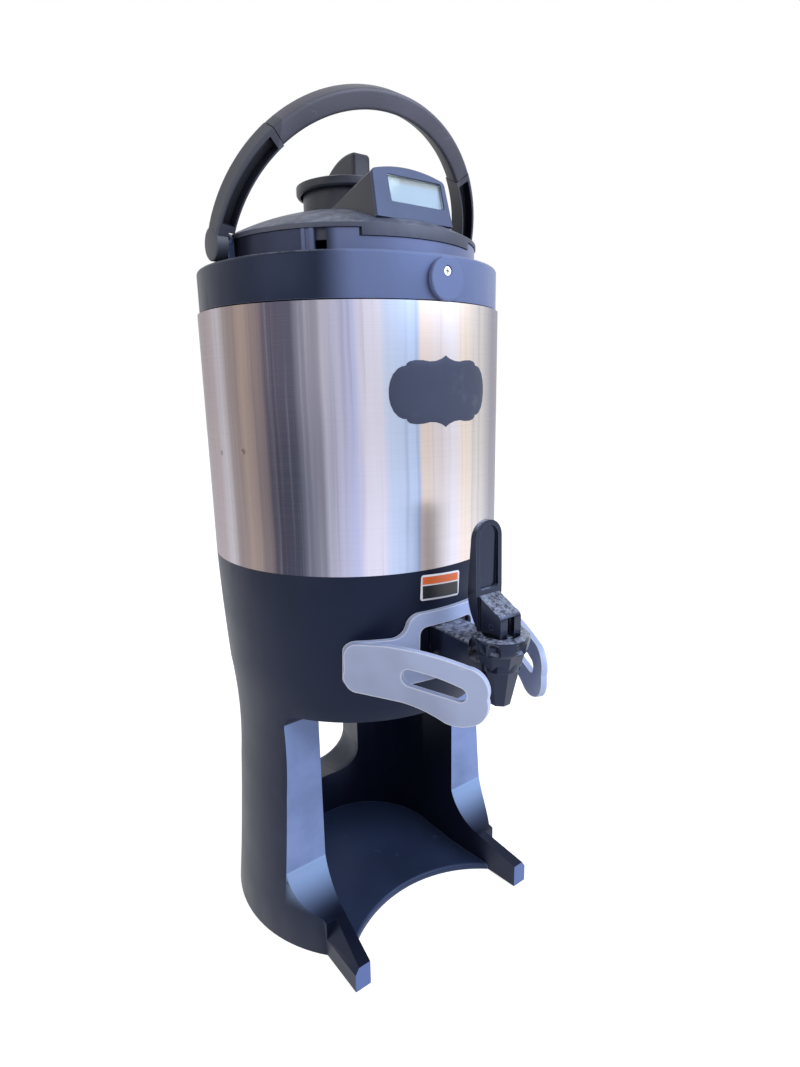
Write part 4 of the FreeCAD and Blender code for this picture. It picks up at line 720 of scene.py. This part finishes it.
class SERVER_OT_lid(bpy.types.Operator):
    """Finish the lid, the filling neck and the cap."""

    bl_idname = "server.lid"
    bl_label = "Lid and Cap"

    def execute(self, context):
        tones = settings("finishes")
        skin = moulded("lid_plastic", tones.lid, 0.5, grain=0.8, dust_and_sheen=0.4, scratches=0.2)
        # Painted highlight along the lid's sharp edges.
        skin.tint(tint_up(tones.lid, 3), skin.times(skin.edges(0.8 * MM), 0.4))
        dress(["lid_cover", "lid_plug", "brew_funnel"], skin.done())
        cap = moulded("cap_plastic", linear(34, 39, 56), 0.44, grain=0.6, dust_and_sheen=0.5, scratches=0.2)
        dress(["fill_neck", "fill_cap"], cap.done())
        ring = moulded(
            "skirt_plastic",
            linear(30, 34, 48),
            0.34,
            scratches=0.4,
            Specular_Tint=linear(176, 194, 255),
        )
        turn = ring.azimuth()
        sheen = ring.sector(turn, -41, -36, 40, 120)
        ring.tint(linear(116, 126, 160), ring.times(sheen, 0.75))
        # Painted highlight on the band of the two ribs.
        ribs = ring.sector(turn, -51, -50, -45.6, -45.2)
        ring.tint(linear(100, 110, 140), ring.times(ribs, 0.8))
        skirt = loft("lid_skirt_ring", self.skirt(), closed=True)
        carried(skirt, "lid", "lid_plastic", ring.done(), "lid_skirt")
        dress(["cap_hinge_pin"], screw_steel())
        ease(["lid_cover", "fill_neck"], 0.5)
        ease(["fill_cap"], 0.6)
        return {"FINISHED"}

    def skirt(self):
        """Sections of the skirt: low under the front lip, with a slot and two ribs at the left."""
        inner, outer, rib_reach = 96.3, 99.3, 1.0
        foot, rim, rim_under_lip, slot_floor = 509.1, 547.5, 542.5, 532.4
        ribs = ((-50.3, -48.9), (-47.2, -45.6))
        slot, lip = (-45.3, -40.7), 28.5
        stops = [i * 1.5 for i in range(-120, 120)] + [*slot, -lip, lip]
        for rib in ribs:
            stops += rib
        rings = []
        for degrees in sorted(set(stops)):
            for side in (-0.01, 0.01):
                spot = degrees + side
                top = rim_under_lip if abs(spot) < lip else rim
                if slot[0] < spot < slot[1]:
                    top = slot_floor
                reach = outer + rib_reach * any(start < spot < end for start, end in ribs)
                turn = math.radians(spot)
                section = ((inner, foot), (reach, foot), (reach, top), (inner, top))
                rings.append([round_spot(r * MM, turn, z * MM) for r, z in section])
        return rings


class SERVER_OT_display(bpy.types.Operator):
    """Finish the timer display."""

    bl_idname = "server.display"
    bl_label = "Display"

    def execute(self, context):
        tones = settings("finishes")
        case = moulded("display_plastic", linear(48, 50, 66), 0.42, grain=0.4, dust_and_sheen=0.4)
        dress(["display_housing"], case.done())
        bezel = moulded(
            "bezel_plastic",
            linear(70, 78, 100),
            0.36,
            grain=0.3,
            dust_and_sheen=0.2,
            Specular_Tint=linear(176, 196, 255),
        )
        dress(["display_bezel"], bezel.done())
        glass = Finish("lens_clear", linear(235, 242, 242), 0.12, Transmission_Weight=1.0, IOR=1.3)
        glass.polish(0.06, 0.2, glass.noise(160, 4))
        glass.relief(glass.noise(90, 3), 0.1, 0.02 * MM)
        dress(["display_lens"], glass.done())
        crystal = Finish("liquid_crystal", tones.crystal, 0.3)
        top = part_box("lcd_panel")[1].z
        shade = crystal.window(crystal.axis("Z"), top - 5.5 * MM, top - 3.5 * MM)
        crystal.tint(linear(128, 124, 112), crystal.times(shade, 0.8))
        crystal.tint(linear(214, 226, 226), crystal.window(crystal.noise(45, 3), 0.5, 0.8))
        dress(["lcd_panel"], crystal.done())
        board = Finish("circuit_board", linear(24, 74, 44), 0.45)
        board.tint(linear(150, 150, 140), board.window(board.noise(700, 1), 0.7, 0.74))
        dress(["circuit_board"], board.done())
        dress(["coin_cell"], screw_steel())
        ease(["display_housing"], 1.2)
        return {"FINISHED"}


class SERVER_OT_tap(bpy.types.Operator):
    """Finish the tap, its lever and the plate behind it."""

    bl_idname = "server.tap"
    bl_label = "Tap"

    def execute(self, context):
        tones = settings("finishes")
        gloss = moulded(
            "tap_plastic",
            tones.tap,
            0.2,
            grain=0.1,
            scratches=0.3,
            Specular_Tint=linear(190, 204, 255),
        )
        # Dust film and painted sheen on the faces that look up, in the dust colour.
        film = gloss.window(gloss.noise(240, 7, rough=0.75), 0.36, 0.62)
        up = gloss.facing("Z", 0.35, 0.9)
        gloss.tint(tones.dust_and_sheen, gloss.times(film, up, 0.85))
        # Painted highlight along the tap's sharp edges.
        gloss.tint(tones.dust_and_sheen, gloss.times(gloss.edges(0.7 * MM), 0.25))
        gloss = gloss.done()
        dress(["valve_body", "bonnet", "tap_lever", "recess_plate"], gloss)
        nut = loft("bonnet_nut_ring", self.nut(), closed=True)
        carried(nut, "server", "tap_plastic", gloss, "bonnet_nut")
        head = loft("spout_head", self.head())
        carried(head, "server", "tap_plastic", gloss)
        dress(["valve_stem", "lever_pin", "stem_spring", "shank_nut"], screw_steel())
        ease(["tap_lever", "valve_body"], 0.8)
        return {"FINISHED"}

    def nut(self, steps=120, lobes=6):
        """Sections of the bonnet nut: a smooth rim over finger hollows."""
        rings = []
        for i in range(steps):
            turn = math.tau * i / steps
            dip = max(0.0, math.cos(lobes * turn)) ** 0.6
            section = (
                (12.9, 284.0),
                (18.4, 284.2),
                (19.5, 283.5),
                (19.8, 282.4),
                (19.6 - 0.9 * dip, 281.2),
                (19.3 - 3.4 * dip, 278.8),
                (18.9 - 3.2 * dip, 275.6),
                (18.4 - 0.8 * dip, 273.8),
                (17.6, 272.7),
                (12.9, 272.7),
            )
            rings.append([TAP_AXIS + round_spot(r * MM, turn, z * MM) for r, z in section])
        return rings

    def head(self):
        """Rings of the spout's eight-sided head, between its tip and the nut."""
        levels = ((14.4, 263.2), (15.4, 266.5), (16.9, 271.8), (17.5, 272.2), (17.5, 273.2))
        turns = [math.radians(45 * i + 22.5) for i in range(8)]
        return [[TAP_AXIS + round_spot(r * MM, turn, z * MM) for turn in turns] for r, z in levels]


class SERVER_OT_guard(bpy.types.Operator):
    """Finish the winged guard round the tap."""

    bl_idname = "server.guard"
    bl_label = "Guard"

    def execute(self, context):
        tones = settings("finishes")
        satin = moulded("guard_plastic", tones.guard, 0.4, grain=0.35, scratches=0.2)
        # Painted highlight along the guard's sharp edges.
        edge_highlight = satin.edges(1.6 * MM, 0.01, 0.12)
        satin.tint(linear(244, 246, 252), satin.times(edge_highlight, 0.85))
        dress(["tap_guard"], satin.done())
        ease(["tap_guard"], 1.3)
        return {"FINISHED"}


def curved_plate(name, outline, radius, thick, turn, height):
    """A thin plate bent round the body, from an outline that is seen whole from its middle."""
    shape = bmesh.new()

    def spot(across, up, lift):
        return round_spot(radius + lift, turn + across / radius, height + up)

    loops = [[shape.verts.new(spot(x, y, 0)) for x, y in outline]]
    for share in (1.0, 0.985, 0.8, 0.55, 0.3):
        lift = thick if share < 1 else thick * 0.7
        loops.append([shape.verts.new(spot(x * share, y * share, lift)) for x, y in outline])
    hub = shape.verts.new(spot(0, 0, thick))
    count = len(outline)
    for outer, inner in zip(loops, loops[1:]):
        for i in range(count):
            j = (i + 1) % count
            shape.faces.new((outer[i], outer[j], inner[j], inner[i]))
    for i in range(count):
        shape.faces.new((loops[-1][i], loops[-1][(i + 1) % count], hub))
    return settled(name, shape)


def scalloped(wide, tall):
    """Outline of a bracketed plaque: round ends, notched shoulders and a point in the middle."""
    quarter = (
        (1.0, 0.0),
        (0.996, 0.14),
        (0.976, 0.31),
        (0.93, 0.5),
        (0.85, 0.65),
        (0.78, 0.71),
        (0.715, 0.725),
        (0.705, 0.78),
        (0.66, 0.84),
        (0.56, 0.875),
        (0.43, 0.87),
        (0.31, 0.835),
        (0.19, 0.85),
        (0.08, 0.91),
        (0.03, 0.96),
        (0.0, 1.0),
    )
    right = [(x * wide / 2, y * tall / 2) for x, y in quarter]
    upper = right + [(-x, y) for x, y in reversed(right[:-1])]
    return upper + [(x, -y) for x, y in reversed(upper[1:-1])]


def rounded(wide, tall, corner, steps=6):
    """Outline of a rectangle with round corners, with points along its sides."""
    points = []
    for side, (x, y) in enumerate(((1, 1), (-1, 1), (-1, -1), (1, -1))):
        for step in range(steps + 1):
            angle = math.radians(90 * (side + step / steps))
            points.append(
                (
                    x * (wide / 2 - corner) + corner * math.cos(angle),
                    y * (tall / 2 - corner) + corner * math.sin(angle),
                )
            )
    filled = []
    for here, there in zip(points, points[1:] + points[:1]):
        gap = math.dist(here, there)
        count = max(1, round(gap / (2 * MM)))
        filled += [
            (here[0] + (there[0] - here[0]) * i / count, here[1] + (there[1] - here[1]) * i / count)
            for i in range(count)
        ]
    return filled


def tilted(outline, angle):
    """Turn an outline about its middle."""
    across, up = math.cos(angle), math.sin(angle)
    return [(x * across - y * up, x * up + y * across) for x, y in outline]


class SERVER_OT_labels(bpy.types.Operator):
    """Make the writable plaque on the steel and the two-colour tag under it."""

    bl_idname = "server.labels"
    bl_label = "Labels"

    def execute(self, context):
        tones, sizes = settings("finishes"), settings("labels")
        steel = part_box("body_shell")[1].x
        plaque = curved_plate(
            "writing_plaque",
            scalloped(sizes.plaque_wide, sizes.plaque_tall),
            steel + 0.05 * MM,
            0.35 * MM,
            sizes.plaque_turn,
            sizes.plaque_height,
        )
        chalk = Finish("plaque_vinyl", tones.plaque, 0.48, Specular_Tint=linear(190, 205, 255))
        chalk.tint(linear(92, 95, 108), chalk.window(chalk.noise(38, 5), 0.52, 0.82))
        chalk.relief(chalk.noise(1500, 2), 0.25, 0.02 * MM)
        chalk.polish(0.42, 0.58, chalk.noise(60, 3))
        plaque.data.materials.append(chalk.done())
        tag = curved_plate(
            "colour_tag",
            tilted(rounded(sizes.tag_wide, sizes.tag_tall, 2 * MM), -sizes.tag_tilt),
            steel - 0.1 * MM,
            0.45 * MM,
            sizes.tag_turn,
            sizes.tag_height,
        )
        film = Finish("tag_film", linear(236, 236, 238), 0.35)
        up = film.math("SUBTRACT", film.axis("Z"), sizes.tag_height)
        along = film.times(film.math("SUBTRACT", film.azimuth(), sizes.tag_turn), steel)
        up = film.math("ADD", up, film.times(along, math.tan(sizes.tag_tilt)))
        border = sizes.tag_wide / 2 - 1.3 * MM
        middle = film.window(film.math("ABSOLUTE", along), border, border - 0.2 * MM)
        for tone, foot, head in (((233, 110, 52), 2.4, 8.3), ((28, 29, 34), -8.3, 1.6)):
            above = film.window(up, foot * MM, (foot + 0.2) * MM)
            below = film.window(up, head * MM, (head - 0.2) * MM)
            film.tint(linear(*tone), film.times(above, below, middle))
        film.polish(0.3, 0.42, film.noise(120, 3))
        tag.data.materials.append(film.done())
        for piece in (plaque, tag):
            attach(piece, "server")
        return {"FINISHED"}


class SERVER_OT_stage(bpy.types.Operator):
    """Build the floor, the light and the camera."""

    bl_idname = "server.stage"
    bl_label = "Stage"

    def execute(self, context):
        look = settings("stage")
        scene = context.scene
        scene.view_settings.view_transform = "Standard"
        floor = bpy.data.meshes.new("floor")
        reach = 6.0
        floor.from_pydata(
            [(-reach, -reach, 0), (reach, -reach, 0), (reach, reach, 0), (-reach, reach, 0)],
            [],
            [(0, 1, 2, 3)],
        )
        ground = bpy.data.objects.new("floor", floor)
        scene.collection.objects.link(ground)
        floor.materials.append(self.paper())
        self.room(scene, look)
        self.lamp("key_lamp", (0.75, -1.5, 1.5), 1.8, look.key_power, linear(222, 234, 255))
        self.lamp("fill_lamp", (-1.5, -0.3, 0.8), 1.0, look.key_power * 0.12, linear(255, 240, 228))
        self.camera(scene, look)
        return {"FINISHED"}

    def paper(self):
        """White paper that stays white to the camera and still takes a shadow."""
        finish = Finish("white_paper", (0.62, 0.62, 0.64, 1), 0.9)
        finish.shader.inputs["Emission Color"].default_value = (1, 1, 1, 1)
        path = finish.node("ShaderNodeLightPath")
        seen = finish.math("MAXIMUM", path.outputs["Is Camera Ray"], path.outputs["Is Glossy Ray"])
        finish.links.new(finish.times(seen, 0.8), finish.shader.inputs["Emission Strength"])
        return finish.done()

    def room(self, scene, look):
        """White to the camera and in reflections, and an even light on all else."""
        world = bpy.data.worlds.new("studio")
        scene.world = world
        world.use_nodes = True
        nodes, links = world.node_tree.nodes, world.node_tree.links
        sky = nodes["Background"]
        path = nodes.new("ShaderNodeLightPath")
        seen = path.outputs["Is Camera Ray"]
        for ray in ("Is Glossy Ray", "Is Transmission Ray"):
            both = nodes.new("ShaderNodeMath")
            both.operation = "MAXIMUM"
            links.new(seen, both.inputs[0])
            links.new(path.outputs[ray], both.inputs[1])
            seen = both.outputs[0]
        level = nodes.new("ShaderNodeMapRange")
        level.inputs["To Min"].default_value = look.ambient
        level.inputs["To Max"].default_value = 1.0
        links.new(seen, level.inputs["Value"])
        links.new(level.outputs[0], sky.inputs["Strength"])
        sky.inputs["Color"].default_value = (1, 1, 1, 1)

    def lamp(self, name, spot, size, power, colour):
        """A square soft lamp that looks at the middle of the server."""
        light = bpy.data.lights.new(name, "AREA")
        light.shape = "SQUARE"
        light.size = size
        light.energy = power
        light.color = colour[:3]
        lamp = bpy.data.objects.new(name, light)
        lamp.location = spot
        aim = Vector((0, 0, 0.3)) - Vector(spot)
        lamp.rotation_euler = aim.to_track_quat("-Z", "Y").to_euler()
        bpy.context.scene.collection.objects.link(lamp)

    def camera(self, scene, look):
        """The camera that took the photograph, solved from the outlines of the vessel."""
        lens = bpy.data.cameras.new("camera")
        lens.lens = look.lens
        lens.sensor_width = 36
        lens.clip_start = 0.01
        camera = bpy.data.objects.new("camera", lens)
        turn = Matrix.Rotation(-look.heading, 4, "Z")
        tilt = Matrix.Rotation(math.radians(90) - look.pitch, 4, "X")
        roll = Matrix.Rotation(look.roll, 4, "Z")
        camera.matrix_world = Matrix.Translation(CAMERA_SPOT) @ turn @ tilt @ roll
        scene.collection.objects.link(camera)
        scene.camera = camera


class SERVER_PT_panel(bpy.types.Panel):
    """Lists the steps that dress the server."""

    bl_idname = "SERVER_PT_panel"
    bl_label = "Drink Server"
    bl_space_type = "VIEW_3D"
    bl_region_type = "UI"
    bl_category = "Server"

    def draw(self, context):
        for step in STEPS:
            self.layout.operator(step.bl_idname)
        for group in GROUPS:
            box = self.layout.box()
            for field in GROUPS[group].__annotations__:
                box.prop(settings(group), field)


STEPS = (
    SERVER_OT_pedestal,
    SERVER_OT_vessel,
    SERVER_OT_collar,
    SERVER_OT_handle,
    SERVER_OT_lid,
    SERVER_OT_display,
    SERVER_OT_tap,
    SERVER_OT_guard,
    SERVER_OT_labels,
    SERVER_OT_stage,
)
GROUPS = {"finishes": ServerFinishes, "labels": ServerLabels, "stage": ServerStage}


def register():
    for group in GROUPS.values():
        bpy.utils.register_class(group)
    for name, group in GROUPS.items():
        setattr(bpy.types.Scene, f"server_{name}", bpy.props.PointerProperty(type=group))
    for step in (*STEPS, SERVER_PT_panel):
        bpy.utils.register_class(step)


def unregister():
    for step in (SERVER_PT_panel, *reversed(STEPS)):
        bpy.utils.unregister_class(step)
    for name, group in GROUPS.items():
        delattr(bpy.types.Scene, f"server_{name}")
        bpy.utils.unregister_class(group)


def main():
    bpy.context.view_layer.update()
    register()
    for step in STEPS:
        group, name = step.bl_idname.split(".")
        getattr(getattr(bpy.ops, group), name)()


if __name__ == "__main__":
    main()
